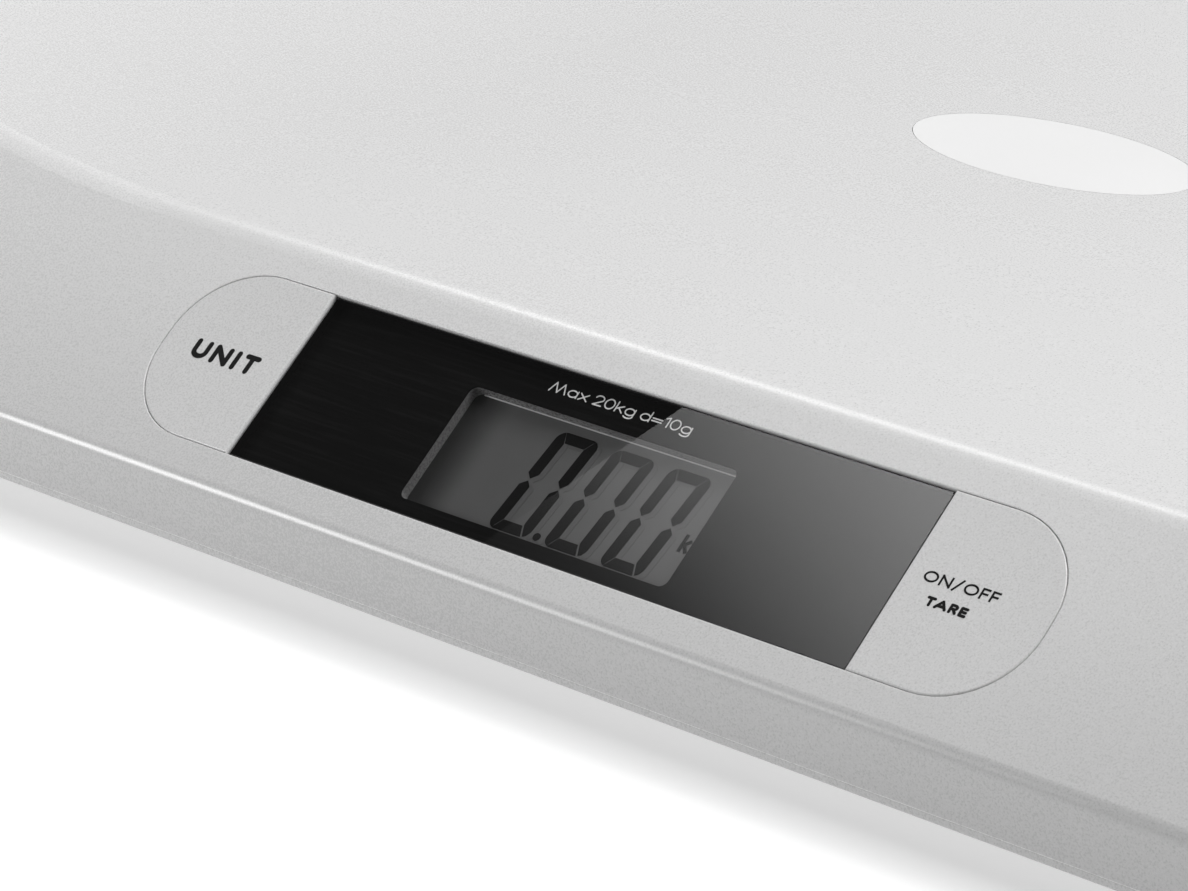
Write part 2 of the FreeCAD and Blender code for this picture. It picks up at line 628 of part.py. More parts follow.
def build_forms():
    """The outer form with its rounds, and the inner form that hollows it."""
    outer, cradle = housing_form("outer_form", 0, SHELL_LOW, 0)
    ridge = fillet_edges(outer, cradle, "outer_ridge_round", "Sizes.ridge_radius", is_ridge)
    fillet_edges(outer, ridge, "outer_fold_round", "Sizes.fold_radius", is_fold)
    inner, _ = housing_form("inner_form", "Sizes.wall", f"{SHELL_LOW} - {CLEAR}", "Sizes.tray_wall")
    DOC.recompute()
    return outer, inner


# ---------------------------------------------------------------- tray shell
def screw_places():
    """Centres of the housing screws, in plan."""
    places = []
    for _, side, end in CORNERS:
        side_x = f"{side} * (Sizes.overall_length / 2 - Sizes.side_screw_inset)"
        long_y = f"{end} * (Sizes.overall_depth / 2 - Sizes.long_screw_inset)"
        places.append((side_x, f"{end} * Sizes.side_screw_y"))
        places.append((f"{side} * Sizes.long_screw_x", long_y))
    return places


def shell_ribs():
    """Walls under the tray, in both directions."""
    rise = f"{FOLD} + Sizes.form_rise - Sizes.rib_low"
    reach = "(Sizes.overall_depth - 2 * Sizes.rib_front)"
    walls = []
    for step in (-2, -1, 0, 1, 2):
        name = f"rib_across_{step + 3}"
        place_x = f"{step} * Sizes.rib_pitch_x"
        walls.append(box(name, "Sizes.rib_thick", reach, rise, place_x, 0, "Sizes.rib_low"))
    length = "(4 * Sizes.rib_pitch_x + Sizes.rib_pitch_y)"
    for step in (-1, 0, 1, 2):
        name = f"rib_along_{step + 2}"
        place_y = f"{step} * Sizes.rib_pitch_y"
        walls.append(box(name, length, "Sizes.rib_thick", rise, 0, place_y, "Sizes.rib_low"))
    return walls


def shell_bosses():
    """Posts of the shell that the housing screws bite into."""
    low = f"({SLEEVE_TOP} + Sizes.contact_gap)"
    rise = f"({FOLD} + Sizes.form_rise - {low})"
    posts = []
    for index, (x, y) in enumerate(screw_places(), 1):
        post = cylinder(f"boss_{index}", "Sizes.boss_radius", rise, x, y, low)
        pilot = cylinder(
            f"pilot_{index}",
            "Sizes.screw_radius + Sizes.contact_gap",
            f"Sizes.screw_length + {CLEAR}",
            x,
            y,
            f"{low} - {SMALL}",
        )
        posts.append(cut(f"drilled_boss_{index}", post, pilot))
    return posts


def display_bed():
    """Solid block behind the panel that carries the window, the keys and the board bosses."""
    depth = f"(Sizes.bed_depth - {SMALL})"
    block = box(
        "bed_block",
        f"{CLUSTER} + 2 * Sizes.bed_border",
        "Sizes.window_height + 2 * Sizes.bed_border",
        depth,
        0,
        0,
        "-Sizes.bed_depth",
    )
    posts = [block]
    for across in (-1, 1):
        for up in (-1, 1):
            posts.append(
                cylinder(
                    f"board_boss_{across + 2}_{up + 2}",
                    "Sizes.board_boss_radius",
                    f"Sizes.board_depth - Sizes.contact_gap - Sizes.bed_depth + {SMALL}",
                    f"{across} * Sizes.board_screw_x",
                    f"{up} * Sizes.board_screw_up",
                    "Sizes.contact_gap - Sizes.board_depth",
                )
            )
    return on_panel(fuse("display_bed", posts))


def hook_slots(side):
    """Slots in a key well that the key's hooks pass through."""
    slots = []
    for up in (-1, 1):
        slots.append(
            box(
                f"hook_slot_{side + 2}_{up + 2}",
                "Sizes.hook_length + 2 * Sizes.running_gap",
                "Sizes.hook_thick + Sizes.hook_barb + 2 * Sizes.running_gap",
                f"Sizes.bed_depth + {2 * CLEAR}",
                f"{side} * {KEY_X}",
                f"{up} * (Sizes.hook_spread / 2 + Sizes.hook_barb / 2)",
                f"-Sizes.bed_depth - {CLEAR}",
            )
        )
    return slots


def display_cuts():
    """Everything that is cut through the panel and the display bed, in the panel's frame."""
    opening = slab(
        "cluster_opening",
        CLUSTER,
        "Sizes.window_height",
        "Sizes.key_radius",
        f"{WINDOW_FLOOR} + {CLEAR}",
        0,
        0,
        f"-{WINDOW_FLOOR}",
    )
    well_stock = slab(
        "well_stock",
        CLUSTER,
        "Sizes.window_height",
        "Sizes.key_radius",
        f"{WELL_FLOOR} + {CLEAR}",
        0,
        0,
        f"-{WELL_FLOOR}",
    )
    middle = box(
        "well_middle",
        "Sizes.window_length",
        f"Sizes.window_height + {2 * CLEAR}",
        f"Sizes.bed_depth + {2 * CLEAR}",
        0,
        0,
        f"-Sizes.bed_depth - {CLEAR}",
    )
    lcd_hole = box(
        "lcd_hole",
        f"{HOLDER_LENGTH} + 2 * Sizes.fit_gap",
        f"{HOLDER_HEIGHT} + 2 * Sizes.fit_gap",
        f"Sizes.bed_depth - {WINDOW_FLOOR} + {SMALL}",
        "Sizes.aperture_x",
        "Sizes.aperture_up",
        f"-Sizes.bed_depth - {SMALL}",
    )
    tools = [opening, cut("key_wells", well_stock, middle), lcd_hole]
    for _, side in SIDES:
        tools.append(
            cylinder(
                f"post_hole_{side + 2}",
                "Sizes.key_post_radius + Sizes.running_gap",
                f"Sizes.bed_depth + {2 * CLEAR}",
                f"{side} * {KEY_X}",
                0,
                f"-Sizes.bed_depth - {CLEAR}",
            )
        )
        tools.extend(hook_slots(side))
        for up in (-1, 1):
            tools.append(
                cylinder(
                    f"board_pilot_{side + 2}_{up + 2}",
                    "Sizes.board_screw_radius + Sizes.contact_gap",
                    f"Sizes.board_depth - {PILOT_TOP} + {CLEAR}",
                    f"{side} * Sizes.board_screw_x",
                    f"{up} * Sizes.board_screw_up",
                    f"-Sizes.board_depth - {CLEAR}",
                )
            )
    return on_panel(fuse("display_cuts", tools))


def badge_recess():
    """Shallow oval seat in the tray."""
    recess = oval(
        "badge_recess",
        "Sizes.badge_length + 2 * Sizes.badge_gap",
        "Sizes.badge_width + 2 * Sizes.badge_gap",
        f"Sizes.badge_thick + {CLEAR}",
    )
    return on_tray(recess, "Sizes.badge_x", "Sizes.badge_y", "-Sizes.badge_thick")


def in_panel(edge):
    """Ends of an edge in the panel's frame."""
    back = FreeCAD.Rotation(X_AXIS, value("Sizes.panel_tilt")).inverted()
    origin = FreeCAD.Vector(0, value(PANEL_Y), value(PANEL_Z))
    return [back.multVec(vertex.Point - origin) for vertex in edge.Vertexes]


def on_shown_edge(edge):
    """Whether an edge of the shell runs round the window and keys or, outside, round its foot."""
    across = value(f"{CLUSTER} / 2") + NEAR
    up = value("Sizes.window_height / 2") + NEAR
    side = value("Sizes.overall_length / 2") - NEAR
    front = value("Sizes.overall_depth / 2") - NEAR
    low = value(SHELL_LOW)
    opening = all(
        abs(p.z) < NEAR and abs(p.x) < across and abs(p.y) < up for p in in_panel(edge)
    )
    foot = all(
        abs(v.Z - low) < NEAR and (abs(v.X) > side or abs(v.Y) > front) for v in edge.Vertexes
    )
    return opening or foot


def build_tray_shell(outer, inner):
    """Tray, front panel and skirt in one moulding, with its ribs, bosses and display bed."""
    hollow = cut("hollow_shell", outer, inner)
    inside = common("shell_inside", [fuse("inside_stock", shell_ribs() + shell_bosses()), inner])
    body = fuse("shell_stock", [hollow, inside, display_bed()])
    tools = group("shell_cuts", [display_cuts(), badge_recess()])
    shell = cut("shell_body", body, tools)
    shell = trim_edges("Part::Fillet", "tray_shell", shell, "Sizes.shell_edge", on_shown_edge)
    part(shell, "tray_shell")
    inlay = oval("badge_inlay", "Sizes.badge_length", "Sizes.badge_width", "Sizes.badge_thick")
    part(on_tray(inlay, "Sizes.badge_x", "Sizes.badge_y", "-Sizes.badge_thick"), "badge_inlay")


# ---------------------------------------------------------------- display
def build_window():
    """Clear window and the printed mask behind it."""
    length = "Sizes.window_length - 2 * Sizes.lens_gap"
    height = "Sizes.window_height - 2 * Sizes.lens_gap"
    stock = box("lens_stock", length, height, "Sizes.lens_thick")
    stock = on_panel(stock, f"-({length}) / 2", f"-({height}) / 2", f"-{LENS_BACK}")
    face = -value("Sizes.window_recess")
    lens = trim_edges(
        "Part::Chamfer",
        "display_window",
        stock,
        "Sizes.lens_bevel",
        lambda edge: all(abs(point.z - face) < NEAR for point in in_panel(edge)),
    )
    part(lens, "display_window")
    sheet = box("mask_stock", length, height, "Sizes.mask_thick")
    hole = slab(
        "mask_aperture",
        "Sizes.aperture_length",
        "Sizes.aperture_height",
        "Sizes.aperture_radius",
        f"Sizes.mask_thick + {2 * CLEAR}",
        "Sizes.aperture_x",
        "Sizes.aperture_up",
        -CLEAR,
    )
    mask = cut("window_mask", sheet, hole)
    part(on_panel(mask, 0, 0, f"-{WINDOW_FLOOR}"), "window_mask")


def build_lcd():
    """Display holder, glass, reflector and the two zebra strips."""
    centre = ("Sizes.aperture_x", "Sizes.aperture_up")
    holder_low = "(Sizes.board_depth - Sizes.contact_gap)"
    flange_top = "(Sizes.bed_depth + Sizes.contact_gap)"
    sleeve = box(
        "holder_sleeve",
        HOLDER_LENGTH,
        HOLDER_HEIGHT,
        f"{holder_low} - {WINDOW_FLOOR} - Sizes.contact_gap",
        *centre,
        f"-{holder_low}",
    )
    flange = box(
        "holder_flange_plate",
        f"{HOLDER_LENGTH} + 2 * Sizes.holder_flange",
        f"{HOLDER_HEIGHT} + 2 * Sizes.holder_wall",
        "Sizes.holder_wall",
        *centre,
        f"-{flange_top} - Sizes.holder_wall",
    )
    pocket = box(
        "holder_pocket",
        "Sizes.lcd_length + 2 * Sizes.fit_gap",
        "Sizes.lcd_height + 2 * Sizes.fit_gap",
        f"{holder_low} - Sizes.lcd_depth + {CLEAR}",
        *centre,
        f"-{holder_low} - {CLEAR}",
    )
    opening = slab(
        "holder_aperture",
        "Sizes.aperture_length",
        "Sizes.aperture_height",
        "Sizes.aperture_radius",
        f"Sizes.lcd_depth + {2 * CLEAR}",
        *centre,
        f"-Sizes.lcd_depth - {CLEAR}",
    )
    stock = fuse("holder_stock", [sleeve, flange])
    holder = cut("lcd_holder", stock, fuse("holder_cuts", [pocket, opening]))
    part(on_panel(holder), "lcd_holder")

    glass_low = f"-{LCD_BACK} - Sizes.contact_gap"
    glass = box("lcd_glass", "Sizes.lcd_length", "Sizes.lcd_height", "Sizes.lcd_thick")
    corner = ("Sizes.aperture_x - Sizes.lcd_length / 2", "Sizes.aperture_up - Sizes.lcd_height / 2")
    part(on_panel(glass, *corner, glass_low), "lcd_glass")

    strip_length = "(Sizes.lcd_length - 2 * Sizes.zebra_width)"
    strip_height = f"Sizes.board_depth - {LCD_BACK} - 3 * Sizes.contact_gap"
    reach = "(Sizes.lcd_height / 2 - Sizes.zebra_width)"
    for name, up in (("lower", -1), ("upper", 1)):
        strip = box(f"zebra_strip_{name}", strip_length, "Sizes.zebra_width", strip_height)
        strip_up = f"Sizes.aperture_up + {up} * {reach} - Sizes.zebra_width / 2"
        strip_x = f"Sizes.aperture_x - {strip_length} / 2"
        on_panel(strip, strip_x, strip_up, "Sizes.contact_gap - Sizes.board_depth")
        part(strip, f"zebra_strip_{name}")

    film_height = f"(2 * {reach} - 2 * Sizes.zebra_width)"
    film = box("lcd_reflector", strip_length, film_height, "Sizes.mask_thick")
    film_x = f"Sizes.aperture_x - {strip_length} / 2"
    film_up = f"Sizes.aperture_up - {film_height} / 2"
    on_panel(film, film_x, film_up, f"{glass_low} - Sizes.mask_thick - Sizes.contact_gap")
    part(film, "lcd_reflector")


# ---------------------------------------------------------------- keys and circuit board
def key_solid(name, side):
    """A key in the panel's frame: top plate, post and two hooks.  side is -1 left, 1 right."""
    stock = slab(
        f"{name}_stock",
        f"{CLUSTER} - 2 * Sizes.key_gap",
        "Sizes.window_height - 2 * Sizes.key_gap",
        "Sizes.key_radius - Sizes.key_gap",
        "Sizes.key_thick",
        0,
        0,
        "-Sizes.key_thick",
    )
    keep_length = "(Sizes.key_length - Sizes.key_gap)"
    keep = box(
        f"{name}_keep",
        keep_length,
        "Sizes.window_height",
        f"Sizes.key_thick + {2 * CLEAR}",
        f"{side} * (Sizes.window_length / 2 + Sizes.key_gap + {keep_length} / 2)",
        0,
        f"-Sizes.key_thick - {CLEAR}",
    )
    plate = common(f"{name}_plate", [stock, keep])
    pieces = [
        trim_edges(
            "Part::Fillet",
            f"{name}_rounded",
            plate,
            "Sizes.key_edge",
            lambda edge: all(abs(vertex.Z) < NEAR for vertex in edge.Vertexes),
        )
    ]
    pieces.append(
        cylinder(
            f"{name}_post",
            "Sizes.key_post_radius",
            f"{PLUNGER_TOP} - Sizes.key_thick + {SMALL}",
            f"{side} * {KEY_X}",
            0,
            f"-{PLUNGER_TOP}",
        )
    )
    barb_top = "(Sizes.bed_depth + Sizes.running_gap)"
    leg_low = f"({barb_top} + Sizes.hook_thick)"
    for up in (-1, 1):
        middle = f"{up} * Sizes.hook_spread / 2"
        leg = box(
            f"{name}_leg_{up + 2}",
            "Sizes.hook_length",
            "Sizes.hook_thick",
            f"{leg_low} - Sizes.key_thick + {SMALL}",
            f"{side} * {KEY_X}",
            middle,
            f"-{leg_low}",
        )
        barb = box(
            f"{name}_barb_{up + 2}",
            "Sizes.hook_length",
            "Sizes.hook_barb + Sizes.hook_thick / 2",
            "Sizes.hook_thick",
            f"{side} * {KEY_X}",
            f"{middle} + {up} * (Sizes.hook_barb + Sizes.hook_thick / 2) / 2",
            f"-{leg_low}",
        )
        pieces.extend((leg, barb))
    return fuse(name, pieces)


def build_keys():
    """The two keys, their tact switches and the switch plungers."""
    for name, side in (("unit", -1), ("tare", 1)):
        part(on_panel(key_solid(f"{name}_button", side)), f"{name}_button")
        place_x = f"{side} * {KEY_X}"
        body = box(
            f"{name}_switch_body",
            "Sizes.switch_size",
            "Sizes.switch_size",
            "Sizes.switch_thick - Sizes.contact_gap",
            place_x,
            0,
            "Sizes.contact_gap - Sizes.board_depth",
        )
        bore_radius = "Sizes.plunger_radius + Sizes.running_gap"
        bore_depth = "(Sizes.key_travel + Sizes.plunger_rise / 2 + Sizes.running_gap)"
        bore_low = f"-{SWITCH_FACE} - {bore_depth}"
        bore = cylinder(
            f"{name}_switch_bore", bore_radius, f"{bore_depth} + {CLEAR}", place_x, 0, bore_low
        )
        part(on_panel(cut(f"{name}_switch", body, bore)), f"{name}_switch")
        plunger = cylinder(
            f"{name}_switch_plunger",
            "Sizes.plunger_radius",
            "1.5 * Sizes.plunger_rise - Sizes.contact_gap",
        )
        out = f"-{SWITCH_FACE} - Sizes.plunger_rise / 2"
        part(on_panel(plunger, place_x, 0, out), f"{name}_switch_plunger")


def build_board():
    """Circuit board with its chip, small components, lead sockets and screws."""
    plate = box(
        "board_stock",
        "Sizes.board_length",
        "Sizes.board_height",
        "Sizes.board_thick",
        0,
        0,
        f"-{BOARD_BACK}",
    )
    holes = []
    screws = []
    for across in (-1, 1):
        for up in (-1, 1):
            tag = f"{across + 2}_{up + 2}"
            middle = (f"{across} * Sizes.board_screw_x", f"{up} * Sizes.board_screw_up")
            holes.append(
                cylinder(
                    f"board_hole_{tag}",
                    "Sizes.board_hole_radius",
                    f"Sizes.board_thick + {2 * CLEAR}",
                    *middle,
                    f"-{BOARD_BACK} - {CLEAR}",
                )
            )
            shank_top = f"({PILOT_TOP} + Sizes.fit_gap)"
            head_top = f"({BOARD_BACK} + Sizes.contact_gap)"
            shank = cylinder(
                f"board_shank_{tag}",
                "Sizes.board_screw_radius",
                f"{head_top} - {shank_top} + {SMALL}",
                *middle,
                f"-{head_top} - {SMALL}",
            )
            head = cylinder(
                f"board_head_{tag}",
                "Sizes.board_head_radius",
                "Sizes.board_head_thick",
                *middle,
                f"-{head_top} - Sizes.board_head_thick",
            )
            screws.append(fuse(f"board_screw_{tag}", [shank, head]))
    board = cut("circuit_board", plate, group("board_holes", holes))
    part(on_panel(board), "circuit_board")
    part(on_panel(group("board_screws", screws)), "board_screws")

    face = "Sizes.contact_gap - Sizes.board_depth"
    chip = box("chip_body", "Sizes.chip_size", "Sizes.chip_size", "Sizes.chip_thick")
    chip_x = "Sizes.chip_x - Sizes.chip_size / 2"
    chip_up = "Sizes.chip_up - Sizes.chip_size / 2"
    part(on_panel(chip, chip_x, chip_up, face), "controller_chip")
    small = []
    size = ("Sizes.component_length", "Sizes.component_width", "Sizes.component_thick")
    for column, x, rows in (
        ("left", "-Sizes.component_x", (-1, 0, 1)),
        ("right", "Sizes.chip_x + Sizes.chip_size", (0, 1)),
    ):
        for row in rows:
            name = f"component_{column}_{row + 2}"
            small.append(box(name, *size, x, f"{row} * Sizes.component_pitch", face))
    part(on_panel(group("component_group", small)), "board_components")
    sockets = []
    for index, x in enumerate(socket_places(), 1):
        sockets.append(
            box(
                f"lead_socket_{index}",
                "Sizes.socket_size",
                "Sizes.socket_size",
                "Sizes.socket_thick",
                x,
                "Sizes.socket_up",
                f"-{BOARD_BACK} - Sizes.contact_gap - Sizes.socket_thick",
            )
        )
    part(on_panel(group("lead_sockets_group", sockets)), "lead_sockets")


def socket_places():
    """Lead sockets on the board's back: four for the load cells, then one for the battery."""
    near = "Sizes.board_length / 2 - 2.2 * Sizes.socket_size"
    far = "Sizes.board_length / 2 - Sizes.socket_size"
    return (f"-({far})", far, f"-({near})", near, "2 * Sizes.socket_size")


# ---------------------------------------------------------------- bottom cover
def cover_ring(name, inset, low, height):
    """A slab with the housing's outline, moved inwards by inset."""
    return slab(
        name,
        f"Sizes.overall_length - 2 * ({inset})",
        f"Sizes.overall_depth - 2 * ({inset})",
        f"Sizes.corner_radius - ({inset})",
        height,
        0,
        0,
        low,
    )


def cover_stock():
    """Solid stock of the cover: rim, plate, lip, sleeves, seat bosses and the bay's walls."""
    seam = "(Sizes.rim_height - Sizes.contact_gap)"
    rim = cover_ring("cover_rim", 0, "Sizes.foot_gap", seam)
    DOC.recompute()
    low = value("Sizes.foot_gap")
    fillet_edges(
        rim,
        rim.Tip,
        "cover_rim_round",
        "Sizes.cover_edge",
        lambda shape, edge: all(abs(v.Z - low) < 0.01 or abs(v.Z) < 0.01 for v in edge.Vertexes),
    )
    inset = "(Sizes.wall + Sizes.fit_gap)"
    plate = cover_ring("cover_plate", inset, "Sizes.foot_gap", "Sizes.cover_thick")
    lip_low = f"({COVER_TOP} - {SMALL})"
    lip_rise = f"(Sizes.lip_height + {SMALL})"
    lip_outer = cover_ring("lip_outer", inset, lip_low, lip_rise)
    lip_inner = cover_ring(
        "lip_inner",
        f"{inset} + Sizes.lip_thick",
        f"{lip_low} - {CLEAR}",
        f"{lip_rise} + {2 * CLEAR}",
    )
    stock = [rim, plate, cut("cover_lip", lip_outer, lip_inner)]
    for index, (x, y) in enumerate(screw_places(), 1):
        rise = f"Sizes.sleeve_height + {SMALL}"
        stock.append(cylinder(f"sleeve_{index}", "Sizes.sleeve_radius", rise, x, y, lip_low))
    for name, side, end in CORNERS:
        for ear in (-1, 1):
            stock.append(
                cylinder(
                    f"seat_boss_{name}_{ear + 2}",
                    "Sizes.ear_radius",
                    f"Sizes.cell_low - Sizes.contact_gap - {lip_low}",
                    f"{side} * {FOOT_X} + {ear} * Sizes.ear_reach",
                    f"{end} * {FOOT_Y}",
                    lip_low,
                )
            )
    stock.append(
        box(
            "bay_block",
            "Sizes.bay_length + 2 * Sizes.bay_wall",
            f"{BAY_WIDTH} + 2 * Sizes.bay_wall",
            f"{BAY_ROOF} + Sizes.bay_wall - {lip_low}",
            0,
            "Sizes.bay_y",
            lip_low,
        )
    )
    return fuse("cover_stock", stock)


def hinge_slots():
    """Slots behind the battery door for its hinge arms, and the holes for its stub pins."""
    tools = []
    for side in (-1, 1):
        x = f"{side} * Sizes.hinge_x"
        clear = "Sizes.door_thick / 2 + 2 * Sizes.running_gap"
        tools.append(
            box(
                f"arm_slot_{side + 2}",
                "Sizes.hinge_arm + 2 * Sizes.running_gap",
                f"Sizes.hinge_reach + {clear} + Sizes.door_gap",
                f"Sizes.cover_thick + {2 * CLEAR}",
                x,
                f"{HINGE_Y} - (Sizes.hinge_reach + Sizes.door_gap - ({clear})) / 2",
                BELOW,
            )
        )
        tools.append(
            cross_rod(
                f"pin_hole_{side + 2}",
                "Sizes.hinge_pin_radius + Sizes.contact_gap",
                "Sizes.hinge_arm + 2 * Sizes.hinge_pin_length + 2 * Sizes.running_gap",
                x,
                HINGE_Y,
                HINGE_Z,
            )
        )
    return tools


def cover_cuts():
    """What is cut from the cover: bay, door seat, foot holes and screw holes."""
    tools = [
        box(
            "bay_hollow",
            "Sizes.bay_length",
            BAY_WIDTH,
            f"{BAY_ROOF} - {BELOW}",
            0,
            "Sizes.bay_y",
            BELOW,
        ),
        box(
            "door_seat",
            f"{DOOR_LENGTH} + 2 * Sizes.door_gap",
            f"{DOOR_WIDTH} + 2 * Sizes.door_gap",
            f"{DOOR_TOP} + Sizes.contact_gap - {BELOW}",
            0,
            "Sizes.bay_y",
            BELOW,
        ),
        box(
            "finger_notch",
            "Sizes.notch_length",
            "2 * Sizes.door_border",
            f"Sizes.notch_depth + {CLEAR}",
            0,
            f"Sizes.bay_y - {DOOR_WIDTH} / 2 - Sizes.door_border",
            BELOW,
        ),
    ]
    tools.extend(hinge_slots())
    for index, (x, y) in enumerate(screw_places(), 1):
        hole = "Sizes.screw_radius + Sizes.fit_gap"
        depth = f"{SLEEVE_TOP} - {BELOW} + {CLEAR}"
        tools.append(cylinder(f"screw_hole_{index}", hole, depth, x, y, BELOW))
        recess = "Sizes.head_radius + Sizes.fit_gap"
        seat = f"Sizes.head_seat + {CLEAR}"
        tools.append(cylinder(f"head_recess_{index}", recess, seat, x, y, BELOW))
    for name, side, end in CORNERS:
        x = f"{side} * {FOOT_X}"
        y = f"{end} * {FOOT_Y}"
        hole = "Sizes.cup_radius + Sizes.cup_gap"
        depth = f"Sizes.cover_thick + {2 * CLEAR}"
        tools.append(cylinder(f"foot_hole_{name}", hole, depth, x, y, BELOW))
        for ear in (-1, 1):
            tools.append(
                cylinder(
                    f"seat_pilot_{name}_{ear + 2}",
                    "Sizes.screw_radius + Sizes.contact_gap",
                    f"Sizes.cell_low - {COVER_TOP} + {CLEAR}",
                    f"{x} + {ear} * Sizes.ear_reach",
                    y,
                    COVER_TOP,
                )
            )
    return tools


def build_bottom_cover():
    """Bottom cover and the housing screws that hold it to the shell."""
    cover = cut("bottom_cover", cover_stock(), fuse("cover_cuts", cover_cuts()))
    part(cover, "bottom_cover")
    seat = "(Sizes.foot_gap + Sizes.head_seat - Sizes.contact_gap)"
    slot_length = "(1.4 * Sizes.head_radius)"
    screws = []
    for index, (x, y) in enumerate(screw_places(), 1):
        head = cylinder(
            f"screw_head_{index}",
            "Sizes.head_radius",
            "Sizes.head_thick",
            x,
            y,
            f"{seat} - Sizes.head_thick",
        )
        shank = cylinder(
            f"screw_shank_{index}",
            "Sizes.screw_radius",
            f"Sizes.screw_length + {SMALL}",
            x,
            y,
            f"{seat} - {SMALL}",
        )
        slot_low = f"{seat} - Sizes.head_thick - {CLEAR}"
        slot_rise = f"Sizes.driver_slot + {CLEAR}"
        ways = (
            ("across", slot_length, "Sizes.driver_slot"),
            ("along", "Sizes.driver_slot", slot_length),
        )
        slots = [
            box(f"slot_{way}_{index}", length, width, slot_rise, x, y, slot_low)
            for way, length, width in ways
        ]
        stock = fuse(f"screw_stock_{index}", [head, shank])
        screws.append(cut(f"housing_screw_{index}", stock, fuse(f"screw_slots_{index}", slots)))
    part(group("housing_screws", screws), "housing_screws")


# ---------------------------------------------------------------- feet and load cells
def build_foot(name, side, end):
    """Rubber pad, foot cup, load cell and load cell seat of one corner."""
    x = f"{side} * {FOOT_X}"
    y = f"{end} * {FOOT_Y}"
    pad_body = DOC.addObject("PartDesign::Body", f"{name}_foot_pad_body")
    disc = pad_body.newObject("PartDesign::AdditiveCylinder", f"{name}_pad_disc")
    bind(disc, Radius="Sizes.pad_radius", Height="Sizes.pad_thick - Sizes.contact_gap")
    fillet_edges(
        pad_body,
        disc,
        f"{name}_pad_round",
        "Sizes.pad_edge",
        lambda shape, edge: edge.Closed and abs(edge.BoundBox.ZMax) < 0.01,
    )
    part(place(pad_body, x, y, 0), f"foot_pad_{name}")

    flange = cylinder(
        f"{name}_cup_flange",
        "Sizes.cup_flange_radius",
        "Sizes.cup_flange_thick",
        x,
        y,
        CUP_LOW,
    )
    barrel_top = "(Sizes.cell_low - Sizes.cup_gap)"
    barrel = cylinder(
        f"{name}_cup_barrel", "Sizes.cup_radius", f"{barrel_top} - {CUP_LOW}", x, y, CUP_LOW
    )
    button = cylinder(
        f"{name}_cup_button",
        "Sizes.cup_button_radius",
        f"Sizes.cell_low - Sizes.contact_gap - {CUP_LOW}",
        x,
        y,
        CUP_LOW,
    )
    part(fuse(f"{name}_cup", [flange, barrel, button]), f"foot_cup_{name}")

    plate = box(
        f"{name}_cell_plate",
        "Sizes.cell_size",
        "Sizes.cell_size",
        "Sizes.cell_thick",
        x,
        y,
        "Sizes.cell_low",
    )
    slots = []
    slot_depth = f"Sizes.cell_thick + {2 * CLEAR}"
    slot_low = f"Sizes.cell_low - {CLEAR}"
    for edge_side in (-1, 1):
        slots.append(
            box(
                f"{name}_cell_slot_{edge_side + 2}",
                "Sizes.cell_slot",
                "Sizes.cell_slot_length",
                slot_depth,
                f"{x} + {edge_side} * (Sizes.tongue_width + Sizes.cell_slot) / 2",
                y,
                slot_low,
            )
        )
    slots.append(
        box(
            f"{name}_cell_slot_end",
            "Sizes.tongue_width + 2 * Sizes.cell_slot",
            "Sizes.cell_slot",
            slot_depth,
            x,
            f"{y} - {end} * (Sizes.cell_slot_length - Sizes.cell_slot) / 2",
            slot_low,
        )
    )
    cell = cut(f"{name}_cell", plate, fuse(f"{name}_cell_slots", slots))
    part(cell, f"load_cell_{name}")
    build_cell_seat(name, x, y)


def build_cell_seat(name, x, y):
    """Frame that holds a load cell's rim above the bottom cover."""
    low = f"({COVER_TOP} + Sizes.contact_gap)"
    size = "(Sizes.cell_size + 2 * Sizes.seat_wall)"
    block = box(f"{name}_seat_block", size, size, f"{CELL_TOP} - {low}", x, y, low)
    stock = [block]
    tools = [
        box(
            f"{name}_seat_pocket",
            "Sizes.cell_size + 2 * Sizes.fit_gap",
            "Sizes.cell_size + 2 * Sizes.fit_gap",
            f"Sizes.cell_thick + {2 * CLEAR}",
            x,
            y,
            "Sizes.cell_low - Sizes.contact_gap",
        ),
        cylinder(
            f"{name}_seat_hole",
            "Sizes.cup_radius + Sizes.cup_gap",
            "Sizes.cell_low",
            x,
            y,
            f"{low} - {CLEAR}",
        ),
    ]
    for ear in (-1, 1):
        ear_x = f"{x} + {ear} * Sizes.ear_reach"
        stock.append(
            cylinder(
                f"{name}_ear_{ear + 2}",
                "Sizes.ear_radius",
                "Sizes.cell_thick",
                ear_x,
                y,
                "Sizes.cell_low",
            )
        )
        web = "(Sizes.ear_reach - Sizes.cell_size / 2 - Sizes.seat_wall / 2)"
        stock.append(
            box(
                f"{name}_web_{ear + 2}",
                web,
                "2 * Sizes.ear_radius",
                "Sizes.cell_thick",
                f"{ear_x} - {ear} * {web} / 2",
                y,
                "Sizes.cell_low",
            )
        )
        tools.append(
            cylinder(
                f"{name}_ear_hole_{ear + 2}",
                "Sizes.screw_radius + Sizes.fit_gap",
                f"Sizes.cell_thick + {2 * CLEAR}",
                ear_x,
                y,
                f"Sizes.cell_low - {CLEAR}",
            )
        )
    seat = cut(f"{name}_seat", fuse(f"{name}_seat_stock", stock), fuse(f"{name}_seat_cuts", tools))
    part(seat, f"load_cell_seat_{name}")


